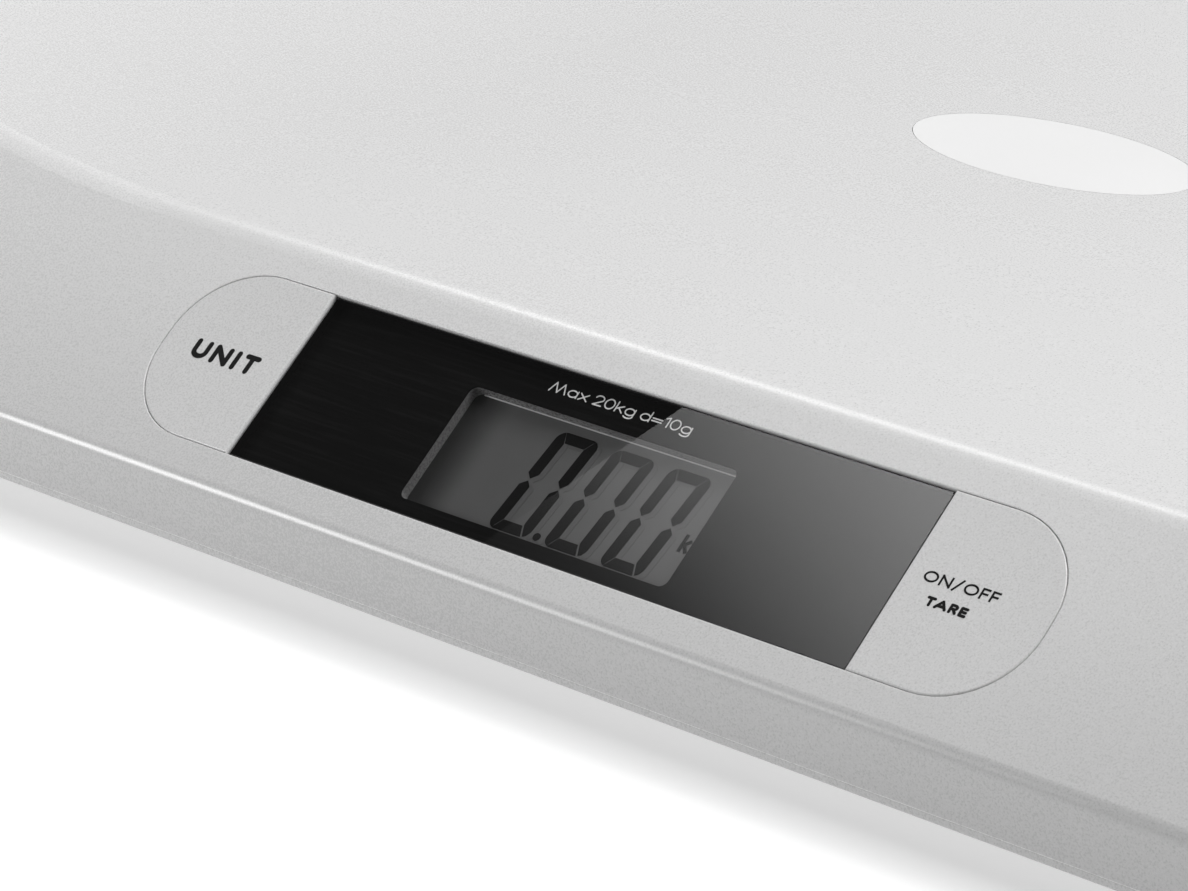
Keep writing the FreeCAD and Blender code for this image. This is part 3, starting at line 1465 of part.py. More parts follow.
def build_feet():
    """All four feet, the gauges on their load cells and the screws of their seats."""
    gauges = []
    screws = []
    for name, side, end in CORNERS:
        build_foot(name, side, end)
        x = f"{side} * {FOOT_X}"
        y = f"{end} * {FOOT_Y}"
        gauge_low = f"({CELL_TOP} + Sizes.contact_gap)"
        gauge = ("Sizes.gauge_width", "Sizes.gauge_length", "Sizes.gauge_thick")
        gauges.append(box(f"{name}_gauge", *gauge, x, y, gauge_low))
        for ear in (-1, 1):
            tag = f"{name}_{ear + 2}"
            ear_x = f"{x} + {ear} * Sizes.ear_reach"
            shank = cylinder(
                f"seat_shank_{tag}",
                "Sizes.screw_radius",
                f"{gauge_low} - {COVER_TOP} - {SMALL}",
                ear_x,
                y,
                f"{COVER_TOP} + {SMALL}",
            )
            head = cylinder(
                f"seat_head_{tag}", "Sizes.head_radius", "Sizes.head_thick", ear_x, y, gauge_low
            )
            screws.append(fuse(f"seat_screw_{tag}", [shank, head]))
    part(group("strain_gauges_group", gauges), "strain_gauges")
    part(group("seat_screws_group", screws), "seat_screws")


# ---------------------------------------------------------------- battery bay
def battery_rows():
    """Rows of the battery bay: place across the bay, and the side of the positive end."""
    return [
        (row, f"(Sizes.bay_y + {row - 1.5} * Sizes.battery_pitch)", 1 if row % 2 else -1)
        for row in range(4)
    ]


def battery_spring(row, y, side):
    """Coil that presses on a cell's negative end, at the bay's end away from side."""
    gap = value("Sizes.contact_gap")
    wire = value("Sizes.spring_wire")
    near = value("Sizes.bay_length / 2 - Sizes.contact_thick") - gap
    positive = value("Sizes.bay_length / 2 - Sizes.contact_thick - Sizes.battery_nub") - gap
    far = value("Sizes.battery_length") - positive
    height = near - far - 2 * (wire + gap)
    radius = value("Sizes.spring_radius")
    turns = [step / SPRING_POINTS for step in range(SPRING_TURNS * SPRING_POINTS + 1)]
    route = [
        FreeCAD.Vector(
            radius * math.cos(2 * math.pi * turn),
            radius * math.sin(2 * math.pi * turn),
            height * turn / SPRING_TURNS,
        )
        for turn in turns
    ]
    spring = DOC.addObject("Part::Feature", f"battery_spring_{row + 1}")
    section = Part.Wire(Part.makeCircle(wire, route[0], route[1] - route[0]))
    spring.Shape = Part.makePolygon(route).makePipeShell([section], True, False, MITRED)
    outer = near - wire - gap
    start_x = -outer if side > 0 else outer - height
    base = FreeCAD.Vector(start_x, value(y), value(BATTERY_Z))
    spring.Placement = FreeCAD.Placement(base, FreeCAD.Rotation(Y_AXIS, 90))
    return spring


def build_batteries():
    """Four AAA cells, with a spring at each negative end and a plate at each end of each row."""
    plates = []
    springs = []
    inside = "(Sizes.bay_length / 2 - Sizes.contact_gap)"
    for row, y, side in battery_rows():
        button_x = f"({inside} - Sizes.contact_thick)"
        body_x = f"{side} * ({button_x} - Sizes.battery_nub - Sizes.battery_length / 2)"
        nub_x = f"{side} * ({button_x} - Sizes.battery_nub / 2 - {SMALL} / 2)"
        body = cross_rod(
            f"battery_body_{row + 1}",
            "Sizes.battery_radius",
            "Sizes.battery_length",
            body_x,
            y,
            BATTERY_Z,
        )
        nub = cross_rod(
            f"battery_nub_{row + 1}",
            "Sizes.battery_nub_radius",
            f"Sizes.battery_nub + {SMALL} - Sizes.contact_gap",
            nub_x,
            y,
            BATTERY_Z,
        )
        part(fuse(f"battery_solid_{row + 1}", [body, nub]), f"battery_cell_{row + 1}")
        springs.append(battery_spring(row, y, side))
        for end in (-1, 1):
            plates.append(
                box(
                    f"contact_{row + 1}_{end + 2}",
                    "Sizes.contact_thick",
                    "Sizes.contact_size",
                    "Sizes.contact_size",
                    f"{end} * ({inside} - Sizes.contact_thick / 2)",
                    y,
                    f"{BATTERY_Z} - Sizes.contact_size / 2",
                )
            )
    part(group("battery_contacts_group", plates), "battery_contacts")
    part(group("battery_springs_group", springs), "battery_springs")


def build_battery_door():
    """Door over the battery bay, with its hinge arms, stub pins and latch finger."""
    stock = [
        box(
            "door_plate",
            DOOR_LENGTH,
            DOOR_WIDTH,
            "Sizes.door_thick",
            0,
            "Sizes.bay_y",
            DOOR_LOW,
        )
    ]
    for side in (-1, 1):
        x = f"{side} * Sizes.hinge_x"
        reach = f"(Sizes.hinge_reach + {SMALL})"
        stock.append(
            box(
                f"hinge_arm_{side + 2}",
                "Sizes.hinge_arm",
                reach,
                "Sizes.door_thick",
                x,
                f"{HINGE_Y} - {reach} / 2",
                DOOR_LOW,
            )
        )
        stock.append(
            cross_rod(
                f"hinge_barrel_{side + 2}",
                f"{HINGE_Z} - {DOOR_LOW}",
                "Sizes.hinge_arm",
                x,
                HINGE_Y,
                HINGE_Z,
            )
        )
        stock.append(
            cross_rod(
                f"stub_pin_{side + 2}",
                "Sizes.hinge_pin_radius",
                "Sizes.hinge_arm + 2 * Sizes.hinge_pin_length",
                x,
                HINGE_Y,
                HINGE_Z,
            )
        )
    latch_gap = "(Sizes.running_gap + Sizes.latch_thick / 2)"
    stock.append(
        box(
            "latch_finger",
            "Sizes.latch_length",
            "Sizes.latch_thick",
            f"Sizes.latch_thick + {SMALL}",
            0,
            f"Sizes.bay_y - {BAY_WIDTH} / 2 + {latch_gap}",
            f"{DOOR_TOP} - {SMALL}",
        )
    )
    part(fuse("battery_door_solid", stock), "battery_door")


# ---------------------------------------------------------------- leads
def lead_tube(name, points, radius):
    """A round lead along a rounded route, with its radii and its volume printed."""
    path, radii = rounded_path(points)
    lead = DOC.addObject("Part::Feature", f"{name}_tube")
    section = Part.Wire(Part.makeCircle(radius, points[0], points[1] - points[0]))
    lead.Shape = path.makePipeShell([section], True, True)
    expected = math.pi * radius**2 * path.Length
    print(
        f"{name}: length {path.Length:.0f}, radii {', '.join(f'{r:.0f}' for r in radii)}, "
        f"volume over section times length {lead.Shape.Volume / expected:.4f}"
    )
    return part(lead, name)


def panel_point(x, up, out):
    """A point of the panel's frame in the housing's frame."""
    tilt = math.radians(value("Sizes.panel_tilt"))
    return FreeCAD.Vector(
        x,
        value(PANEL_Y) + up * math.cos(tilt) - out * math.sin(tilt),
        value(PANEL_Z) + up * math.sin(tilt) + out * math.cos(tilt),
    )


def build_leads():
    """Leads from the load cells and the battery bay to the sockets on the board."""
    radius = value("Sizes.lead_radius")
    floor = value(COVER_TOP) + radius + value("Sizes.contact_gap")
    socket_out = -value(f"{BOARD_BACK} + Sizes.socket_thick + 2 * Sizes.contact_gap")
    socket_up = value("Sizes.socket_up")
    seat_x = value(f"{FOOT_X} - Sizes.cell_size / 2 - Sizes.seat_wall - Sizes.fit_gap")
    entry_y = value(f"{FOOT_Y} - Sizes.lead_entry")
    sockets = [value(x) for x in socket_places()]
    point = FreeCAD.Vector
    for index, (name, side, end) in enumerate(CORNERS):
        x = sockets[index]
        start = panel_point(x, socket_up, socket_out)
        drop = panel_point(x, socket_up, socket_out - 9)
        if end < 0:
            route = [
                point(x + side * 4, drop.y + 9, floor + 1.2),
                point(x + side * 16, drop.y + 15, floor),
                point(x + side * 36, drop.y + 12, floor),
                point(x + side * 66, 5 - entry_y, floor),
                point(side * (seat_x - 14), 1 - entry_y, floor),
            ]
        else:
            route = [
                point(x + side * 2, drop.y + 9, floor + 1.2),
                point(x + side * 9, drop.y + 21, floor),
                point(x + side * 24, drop.y + 48, floor),
                point(x + side * 38, drop.y + 94, floor),
                point(x + side * 44, drop.y + 146, floor),
                point(x + side * 52, drop.y + 192, floor),
                point(side * (seat_x - 34), entry_y - 8, floor),
                point(side * (seat_x - 14), entry_y - 2, floor),
            ]
        finish = point(side * seat_x, end * entry_y, floor)
        lead_tube(f"load_cell_lead_{name}", [start, drop, *route, finish], radius)
    x = sockets[4]
    start = panel_point(x, socket_up, socket_out)
    drop = panel_point(x, socket_up, socket_out - 9)
    bay_front = value(f"Sizes.bay_y - {BAY_WIDTH} / 2 - Sizes.bay_wall - Sizes.contact_gap")
    route = [
        start,
        drop,
        point(x + 2, drop.y + 9, floor + 1.2),
        point(x + 5, drop.y + 24, floor),
        point(x + 2, drop.y + 50, floor),
        point(x - 3, bay_front - 20, floor),
        point(x - 2, bay_front, floor),
    ]
    lead_tube("battery_lead", route, radius)


# ---------------------------------------------------------------- checks and files
def check_document():
    """Stop on a failed object or on a sub-part whose shape is missing or not valid."""
    for obj in DOC.Objects:
        if any(state in ("Invalid", "Error") for state in obj.State):
            raise RuntimeError(f"{obj.Label} failed: {obj.State}")
    for obj in PARTS:
        if obj.Shape.isNull() or not obj.Shape.isValid() or obj.Shape.Volume <= 0:
            raise RuntimeError(f"{obj.Label} has no valid shape")


def write_parts():
    """Write each sub-part to its STEP file."""
    os.makedirs("parts", exist_ok=True)
    for obj in PARTS:
        obj.Shape.exportStep(f"parts/{obj.Label}.step")
        print(f"{obj.Label}: {len(obj.Shape.Solids)} solid(s), {obj.Shape.Volume / 1000:.2f} cm3")


def main():
    """Build every sub-part, check the document and write the files."""
    write_sizes()
    outer, inner = build_forms()
    build_tray_shell(outer, inner)
    build_window()
    build_lcd()
    build_keys()
    build_board()
    build_bottom_cover()
    build_feet()
    build_batteries()
    build_battery_door()
    build_leads()
    DOC.recompute()
    check_document()
    write_parts()


main()
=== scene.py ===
"""Looks of a digital baby weighing scale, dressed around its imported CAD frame.

Units are metres.  +X runs to the right seen from the display side, +Y to the rear and +Z up.  The
display and the keys lie in the panel's own frame: its origin is the centre of the window on the
panel's outer face, x runs right, `up` along the slope and `out` away from the panel.
"""

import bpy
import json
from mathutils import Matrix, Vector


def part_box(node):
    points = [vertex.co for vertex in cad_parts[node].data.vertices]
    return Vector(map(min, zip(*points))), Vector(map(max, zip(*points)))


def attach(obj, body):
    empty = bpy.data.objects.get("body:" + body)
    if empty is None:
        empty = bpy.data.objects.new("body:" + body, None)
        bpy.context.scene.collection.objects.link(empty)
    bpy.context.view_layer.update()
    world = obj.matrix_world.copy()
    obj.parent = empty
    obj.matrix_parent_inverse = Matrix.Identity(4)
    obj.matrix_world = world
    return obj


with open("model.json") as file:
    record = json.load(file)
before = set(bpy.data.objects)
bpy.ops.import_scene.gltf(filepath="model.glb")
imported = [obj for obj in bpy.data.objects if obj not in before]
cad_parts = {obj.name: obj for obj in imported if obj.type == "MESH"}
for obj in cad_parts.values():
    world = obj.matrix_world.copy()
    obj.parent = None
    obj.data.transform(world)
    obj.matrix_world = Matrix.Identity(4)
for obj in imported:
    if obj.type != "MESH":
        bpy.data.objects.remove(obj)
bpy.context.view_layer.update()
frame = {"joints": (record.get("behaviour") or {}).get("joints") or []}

import json
import logging
import math
from dataclasses import dataclass, replace
from enum import Enum
from typing import Callable, Dict, List, Optional, Sequence, Tuple, Union

import bpy
import numpy as np
from mathutils import Matrix, Vector

MM = 0.001
PRINT_DEPTH = 2.75 * MM
PRINT_THICKNESS = 0.2 * MM
CORNERS = ("front_left", "front_right", "rear_left", "rear_right")
LOG = logging.getLogger("scale")
Array = np.ndarray
Colour = Tuple[float, float, float]
Pair = Tuple[float, float]
Operand = Union["Signal", float]


# --- shader maths
class Signal:
    """One output socket of a node tree, with Python's arithmetic written as Math nodes."""

    def __init__(self, recipe: "Recipe", socket: bpy.types.NodeSocket) -> None:
        """Wrap an output socket of a recipe's tree."""
        self.recipe = recipe
        self.socket = socket

    def maths(self, operation: str, *others: Operand, first: bool = True) -> "Signal":
        """A Math node of this socket and the others, or of the others and this."""
        operands = [self, *others] if first else [*others, self]
        return self.recipe.node("ShaderNodeMath", {"operation": operation}, dict(enumerate(operands)))

    def __add__(self, other: Operand) -> "Signal":
        """Sum."""
        return self.maths("ADD", other)

    def __sub__(self, other: Operand) -> "Signal":
        """Difference."""
        return self.maths("SUBTRACT", other)

    def __rsub__(self, other: float) -> "Signal":
        """Difference, from a number."""
        return self.maths("SUBTRACT", other, first=False)

    def __mul__(self, other: Operand) -> "Signal":
        """Product."""
        return self.maths("MULTIPLY", other)

    def __truediv__(self, other: Operand) -> "Signal":
        """Quotient."""
        return self.maths("DIVIDE", other)

    def __lt__(self, other: Operand) -> "Signal":
        """1 where this is less than the other, 0 elsewhere."""
        return self.maths("LESS_THAN", other)

    def __gt__(self, other: Operand) -> "Signal":
        """1 where this is more than the other, 0 elsewhere."""
        return self.maths("GREATER_THAN", other)

    __radd__ = __add__
    __rmul__ = __mul__

    def size(self) -> "Signal":
        """The value without its sign."""
        return self.maths("ABSOLUTE")

    def swing(self, amount: float) -> "Signal":
        """How far the value lies from one half, times an amount."""
        return (self - 0.5) * amount

    def ramp(self, low: float, high: float) -> "Signal":
        """A smooth step from 0 at low to 1 at high."""
        settings = {"interpolation_type": "SMOOTHSTEP"}
        return self.recipe.node("ShaderNodeMapRange", settings, {0: self, 1: low, 2: high})


class Recipe:
    """A material under construction."""

    def __init__(self, name: str) -> None:
        """Start an empty node tree.

        Args:
            name: the material's name.
        """
        self.material = bpy.data.materials.new(name)
        self.material.use_nodes = True
        self.tree = self.material.node_tree
        self.tree.nodes.clear()

    def node(self, kind: str, settings: Optional[Dict[str, object]] = None,
             inputs: Optional[Dict[Union[str, int], object]] = None,
             output: Union[str, int] = 0) -> Signal:
        """Add a node.

        Args:
            kind: the node's type.
            settings: its properties, set before its sockets.
            inputs: a value or a Signal for each named or numbered socket.
            output: the socket to hand back.
        Returns:
            That output socket.
        """
        made = self.tree.nodes.new(kind)
        for key, setting in (settings or {}).items():
            setattr(made, key, setting)
        for key, given in (inputs or {}).items():
            if isinstance(given, Signal):
                self.tree.links.new(given.socket, made.inputs[key])
            else:
                made.inputs[key].default_value = given
        return Signal(self, made.outputs[output])

    def place(self, move: Sequence[float] = (0, 0, 0), turn: Sequence[float] = (0, 0, 0),
              scale: Sequence[float] = (1, 1, 1)) -> Signal:
        """Object coordinates, moved, turned and stretched by a Mapping node."""
        where = self.node("ShaderNodeTexCoord", output="Object")
        inputs = {"Vector": where, "Location": move, "Rotation": turn, "Scale": scale}
        return self.node("ShaderNodeMapping", {"vector_type": "TEXTURE"}, inputs)

    def axis(self, vector: Signal, name: str) -> Signal:
        """One component of a vector."""
        return self.node("ShaderNodeSeparateXYZ", inputs={"Vector": vector}, output=name)

    def noise(self, where: Signal, scale: float, detail: float = 2.0, rough: float = 0.5) -> Signal:
        """Smooth noise from 0 to 1."""
        inputs = {"Vector": where, "Scale": scale, "Detail": detail, "Roughness": rough}
        return self.node("ShaderNodeTexNoise", inputs=inputs)

    def mix(self, share: Operand, low: object, high: object) -> Signal:
        """A colour between low, at share 0, and high, at share 1."""
        inputs = {0: share, 6: low, 7: high}
        return self.node("ShaderNodeMix", {"data_type": "RGBA"}, inputs, output=2)

    def bump(self, height: Signal, depth: float, strength: float) -> Signal:
        """A normal tilted by a height from 0 to 1, for a relief of the given depth in metres."""
        inputs = {"Height": height, "Distance": depth, "Strength": strength}
        return self.node("ShaderNodeBump", inputs=inputs)

    def surface(self, **sockets: object) -> Signal:
        """A Principled shader, with underscores for the blanks in its inputs' names."""
        inputs = {name.replace("_", " "): given for name, given in sockets.items()}
        return self.node("ShaderNodeBsdfPrincipled", inputs=inputs)

    def close(self, shader: Signal) -> bpy.types.Material:
        """Connect a shader to the material's output."""
        end = self.tree.nodes.new("ShaderNodeOutputMaterial")
        self.tree.links.new(shader.socket, end.inputs["Surface"])
        return self.material


def neutral(level: float) -> Colour:
    """A neutral colour."""
    return (level, level, level)


def tone(colour: Colour, factor: float = 1.0, lift: float = 0.0) -> Tuple[float, ...]:
    """A colour times a factor and plus a lift, capped at 1, with its alpha."""
    return (*(min(1.0, part * factor + lift) for part in colour), 1.0)


def grey(level: float) -> Tuple[float, ...]:
    """A neutral colour with its alpha."""
    return tone(neutral(level))


def drifted(colour: Colour, drift: float) -> List[Tuple[float, ...]]:
    """A colour darker and brighter by a share."""
    return [tone(colour, 1 - drift), tone(colour, 1 + drift)]


@dataclass(frozen=True)
class Panel:
    """The sloping front panel's own frame."""

    y: float
    z: float
    tilt: float

    @classmethod
    def find(cls, depth: float) -> "Panel":
        """Find the panel from the keys' travel and the box of the print behind the window.

        Args:
            depth: how deep the print's middle lies below the panel's face.
        Returns:
            The panel.
        """
        travel = next(joint["axis"] for joint in frame["joints"] if joint["name"] == "unit_press")
        tilt = math.atan2(travel[1], -travel[2])
        low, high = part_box("window_mask")
        middle = (low + high) / 2
        return cls(middle.y - depth * math.sin(tilt), middle.z + depth * math.cos(tilt), tilt)

    def place(self, local: Array) -> Array:
        """Turn (n, 3) points, given as x, up and out, into the row frame."""
        x, up, out = local.T
        cosine, sine = math.cos(self.tilt), math.sin(self.tilt)
        return np.stack([x, self.y + up * cosine - out * sine, self.z + up * sine + out * cosine], -1)


# --- finishes
@dataclass(frozen=True)
class Finish:
    """A named surface, whose kinds each lay their own nodes."""

    name: str

    def shader(self, recipe: Recipe) -> Signal:
        """Lay the nodes, the shader last."""
        raise NotImplementedError

    def make(self) -> bpy.types.Material:
        """Build the material."""
        recipe = Recipe(self.name)
        return recipe.close(self.shader(recipe))


@dataclass(frozen=True)
class SatinPlastic(Finish):
    """Moulded plastic with a fine sparked grain.

    Its colour and its roughness drift a little over the piece, as the wall and the flow of the
    plastic change.  The grain is a shallow relief of two sizes, and the finer one tints the surface
    as well.  Towards the floor the piece may darken by a share, between two heights: painted shade,
    darker towards the bottom.
    """

    colour: Colour
    drift: float = 0.2
    roughness: float = 0.28
    clouds: float = 7.0
    grain: float = 2600.0
    coarser: float = 3.5
    depth: float = 0.012 * MM
    painted_low_shade: float = 0.0
    heights: Pair = (12.0 * MM, 55.0 * MM)

    def shader(self, recipe: Recipe) -> Signal:
        """Lay the nodes."""
        where = recipe.place()
        cloud = recipe.noise(where, self.clouds, detail=3)
        fine = recipe.noise(where, self.grain, rough=0.6)
        coarse = recipe.noise(where, self.grain / self.coarser, detail=1)
        share = cloud.swing(0.15) + fine.swing(1.1) + 0.5
        tint = recipe.mix(share, *drifted(self.colour, self.drift))
        # Painted shade: the colour darkens towards the floor by the share.
        if self.painted_low_shade:
            lit = recipe.axis(where, "Z").ramp(*self.heights) * self.painted_low_shade + (1 - self.painted_low_shade)
            tint = recipe.node("ShaderNodeVectorMath", {"operation": "SCALE"}, {0: tint, "Scale": lit})
        return recipe.surface(
            Base_Color=tint,
            Roughness=fine.swing(0.08) + cloud.swing(0.05) + self.roughness,
            Normal=recipe.bump(fine * 0.7 + coarse * 0.3, self.depth, strength=0.6),
        )


@dataclass(frozen=True)
class Gloss(Finish):
    """Smooth, shiny plastic with a slight orange peel, whose colour drifts a little."""

    colour: Colour
    drift: float = 0.03
    roughness: float = 0.3
    clouds: float = 24.0
    peel: float = 260.0
    depth: float = 0.004 * MM

    def shader(self, recipe: Recipe) -> Signal:
        """Lay the nodes."""
        where = recipe.place()
        cloud = recipe.noise(where, self.clouds)
        peel = recipe.noise(where, self.peel, detail=1)
        return recipe.surface(
            Base_Color=recipe.mix(cloud, *drifted(self.colour, self.drift)),
            Roughness=cloud.swing(0.06) + self.roughness,
            Normal=recipe.bump(peel, self.depth, strength=0.5),
        )


@dataclass(frozen=True)
class ClearPanel(Finish):
    """Clear window plastic: a thin sheet that mirrors by Schlick's law and lets the rest through.

    The share mirrored is that of a head-on look, plus the rest times the fifth power of one less the
    cosine of the angle.  Only the outer faces mirror, because the inner ones touch the print.  A face
    is told by how squarely it looks out of the panel: the cut edges, below one level, are painted
    black, a painted reflection of the print inside, and the bevel, below the next, is frosted.
    """

    tilt: float
    head_on: float = 0.04
    tint: float = 0.93
    frost: float = 0.07
    # Painted reflection: the cut edges' black stands in for their mirror of the print.
    black: float = 0.003
    cut_below: float = 0.5
    bevel_below: float = 0.9

    def shader(self, recipe: Recipe) -> Signal:
        """Lay the nodes."""
        facing = recipe.node("ShaderNodeLayerWeight", inputs={"Blend": 0.5}, output="Facing")
        behind = recipe.node("ShaderNodeNewGeometry", output="Backfacing")
        share = (facing.maths("POWER", 5) * (1 - self.head_on) + self.head_on) * (1 - behind)
        through = recipe.node("ShaderNodeBsdfTransparent", inputs={"Color": grey(self.tint)})
        shine = recipe.node("ShaderNodeBsdfGlossy", inputs={"Color": grey(1.0), "Roughness": 0.0})
        clear = recipe.node("ShaderNodeMixShader", inputs={0: share, 1: through, 2: shine})
        normal = recipe.node("ShaderNodeNewGeometry", output="True Normal")
        inputs = {0: normal, 1: (0.0, -math.sin(self.tilt), math.cos(self.tilt))}
        level = recipe.node("ShaderNodeVectorMath", {"operation": "DOT_PRODUCT"}, inputs, output="Value")
        dull = recipe.mix(level.size() < self.cut_below, grey(self.frost), grey(self.black))
        rim = recipe.node("ShaderNodeBsdfDiffuse", inputs={"Color": dull})
        edge = level.size() < self.bevel_below
        return recipe.node("ShaderNodeMixShader", inputs={0: edge, 1: clear, 2: rim})


@dataclass(frozen=True)
class BrushedMask(Finish):
    """Black print on the back of the window, with faint streaks that fade in between two noise levels."""

    tilt: float
    colour: float = 0.004
    streak: float = 0.004
    fade: Pair = (0.42, 0.75)
    stretch: Tuple[float, float, float] = (20.0 * MM, 0.6 * MM, 20.0 * MM)
    roughness: float = 0.5

    def shader(self, recipe: Recipe) -> Signal:
        """Lay the nodes."""
        where = recipe.place(turn=(self.tilt, 0, 0), scale=self.stretch)
        streaks = recipe.noise(where, scale=1, detail=3, rough=0.6)
        streaked = grey(self.colour + self.streak)
        return recipe.surface(
            Base_Color=recipe.mix(streaks.ramp(*self.fade), grey(self.colour), streaked),
            Roughness=streaks.swing(0.1) + self.roughness,
            Specular_IOR_Level=0.0,
        )


@dataclass(frozen=True)
class Metal(Finish):
    """Steel or nickel sheet with a faint stain and fine rolling marks along one axis."""

    colour: Colour
    roughness: float = 0.3
    marks: Tuple[float, float, float] = (0.4 * MM, 10.0 * MM, 10.0 * MM)
    stain: float = 0.86

    def shader(self, recipe: Recipe) -> Signal:
        """Lay the nodes."""
        lines = recipe.noise(recipe.place(scale=self.marks), scale=1)
        stain = recipe.noise(recipe.place(), scale=90, detail=3)
        return recipe.surface(
            Base_Color=recipe.mix(stain, tone(self.colour, self.stain), tone(self.colour)),
            Metallic=1.0,
            Roughness=lines.swing(0.16) + stain.swing(0.08) + self.roughness,
            Normal=recipe.bump(lines, 0.01 * MM, strength=0.4),
        )


@dataclass(frozen=True)
class Rubber(Finish):
    """Soft matt rubber with dusty specks that fade in between two noise levels."""

    colour: Colour
    dust: float = 0.05
    fade: Pair = (0.45, 0.8)
    roughness: float = 0.775

    def shader(self, recipe: Recipe) -> Signal:
        """Lay the nodes."""
        speck = recipe.noise(recipe.place(), scale=700, detail=4, rough=0.7)
        dusty = tone(self.colour, lift=self.dust)
        return recipe.surface(
            Base_Color=recipe.mix(speck.ramp(*self.fade), tone(self.colour), dusty),
            Roughness=speck.swing(0.15) + self.roughness,
            Normal=recipe.bump(speck, 0.03 * MM, strength=0.7),
            Specular_IOR_Level=0.3,
        )


@dataclass(frozen=True)
class Laminate(Finish):
    """Solder mask over brighter, smoother copper tracks that run in two directions, patch by patch."""

    colour: Colour
    pitch: float = 2.4 * MM
    width: float = 0.3
    wander: float = 5.0
    brighter: float = 1.9
    roughness: float = 0.34
    smoother: float = 0.08

    def shader(self, recipe: Recipe) -> Signal:
        """Lay the nodes."""
        where = recipe.place()
        wobble = recipe.noise(where, scale=110, detail=0) * self.wander
        across, along = (recipe.axis(where, name) / self.pitch + wobble for name in ("X", "Y"))
        across, along = (lines.maths("FRACT") < self.width for lines in (across, along))
        patch = recipe.noise(where, scale=60, detail=0) > 0.5
        track = across * patch + along * (1 - patch)
        return recipe.surface(
            Base_Color=recipe.mix(track, tone(self.colour), tone(self.colour, self.brighter)),
            Roughness=self.roughness - track * self.smoother,
            Normal=recipe.bump(track, 0.03 * MM, strength=0.5),
        )


@dataclass(frozen=True)
class CellWrap(Finish):
    """Printed sleeve of a battery cell, whose copper band starts between two distances from the middle."""

    start: Pair
    body: Colour = (0.02, 0.02, 0.022)
    band: Colour = (0.45, 0.24, 0.08)
    roughness: float = 0.28

    def shader(self, recipe: Recipe) -> Signal:
        """Lay the nodes."""
        where = recipe.place()
        share = recipe.axis(where, "X").size().ramp(*self.start)
        scuff = recipe.noise(where, scale=420, detail=3)
        return recipe.surface(
            Base_Color=recipe.mix(share, tone(self.body), tone(self.band)),
            Roughness=scuff.swing(0.2) + self.roughness,
            Metallic=share * 0.4,
            Coat_Weight=0.3,
        )


@dataclass(frozen=True)
class Ink(Finish):
    """Printed ink with a soft mottle between two shares of its level."""

    level: float
    shine: float = 0.5
    shares: Pair = (0.85, 1.1)
    roughness: float = 0.55

    def shader(self, recipe: Recipe) -> Signal:
        """Lay the nodes."""
        mottle = recipe.noise(recipe.place(), scale=3000)
        return recipe.surface(
            Base_Color=recipe.mix(mottle, *(grey(self.level * share) for share in self.shares)),
            Roughness=mottle.swing(0.1) + self.roughness,
            Specular_IOR_Level=self.shine,
        )


@dataclass(frozen=True)
class CrystalGlass(Finish):
    """The display's glass over its reflector, with a soft painted shade beside its frame's left wall.

    To the right of a start the colour rises in proportion to the distance, a painted light.  Near the
    upper edge it rises too, a painted light that lifts the shade under the frame's upper wall.
    """

    panel: Panel
    left: float
    colour: float = 0.091
    shade: float = 0.3
    reach: float = 7.7 * MM
    start: float = -16.3 * MM
    rise: float = 12.2
    upper: Pair = (7.5 * MM, 11.0 * MM)
    lift: float = 0.2
    roughness: float = 0.45

    def shader(self, recipe: Recipe) -> Signal:
        """Lay the nodes."""
        where = recipe.place(move=(0, self.panel.y, self.panel.z), turn=(self.panel.tilt, 0, 0))
        across = recipe.axis(where, "X")
        # Painted light near the upper edge and right of the start, painted shade beside the left wall.
        high = recipe.axis(where, "Y").ramp(*self.upper) * self.lift + 1
        beside = (across - self.left).ramp(0.0, self.reach)
        painted_rise = (across - self.start).maths("MAXIMUM", 0.0) * self.rise + 1
        cloud = recipe.noise(where, scale=160, detail=3)
        level = (beside * (1 - self.shade) + self.shade) * (cloud.swing(0.1) + 1) * painted_rise * high
        return recipe.surface(
            Base_Color=level * self.colour,
            Roughness=cloud.swing(0.1) + self.roughness,
            Specular_IOR_Level=0.2,
        )


# --- mesh helpers
def grid_faces(rows: int, columns: int, closed: bool = False) -> Array:
    """Quads of a grid of points that is counted row by row.

    Args:
        rows: number of rows.
        columns: points in each row.
        closed: whether the last point of a row joins the first.
    Returns:
        An array of (quads, 4) point numbers.
    """
    row = np.arange(rows - 1)[:, None] * columns
    column = np.arange(columns if closed else columns - 1)[None, :]
    after = (column + 1) % columns
    corners = (row + column, row + after, row + columns + after, row + columns + column)
    return np.stack(corners, -1).reshape(-1, 4)


def linked(name: str, data: bpy.types.ID) -> bpy.types.Object:
    """A new object in the scene, with its data."""
    made = bpy.data.objects.new(name, data)
    bpy.context.scene.collection.objects.link(made)
    return made


@dataclass
class Shape:
    """Points and faces of a mesh under construction."""

    points: Array
    faces: List[Sequence[int]]

    def placed(self, place: Callable[[Array], Array]) -> "Shape":
        """The same faces with their points moved by a function."""
        return Shape(place(self.points), self.faces)

    def made(self, name: str, material: bpy.types.Material) -> bpy.types.Object:
        """Make an object with smooth shading.

        Args:
            name: its name.
            material: its material.
        Returns:
            The object, with its place in its mesh.
        """
        mesh = bpy.data.meshes.new(name)
        mesh.from_pydata(self.points.tolist(), [], self.faces)
        mesh.update()
        mesh.materials.append(material)
        mesh.shade_smooth()
        return linked(name, mesh)

    def piece(self, name: str, material: bpy.types.Material, body: str, slot: str,
              smooth: float = 30.0) -> None:
        """Make a piece of the scale and let it ride on a body.

        Args:
            name: the piece's name.
            material: its material.
            body: the CAD body that it moves with.
            slot: the record's material slot; not used.
            smooth: the angle in degrees below which an edge is shaded round.
        """
        made = self.made(name, material)
        made.data.set_sharp_from_angle(angle=math.radians(smooth))
        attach(made, body)
        LOG.info("%s: %d faces on %s", name, len(self.faces), body)


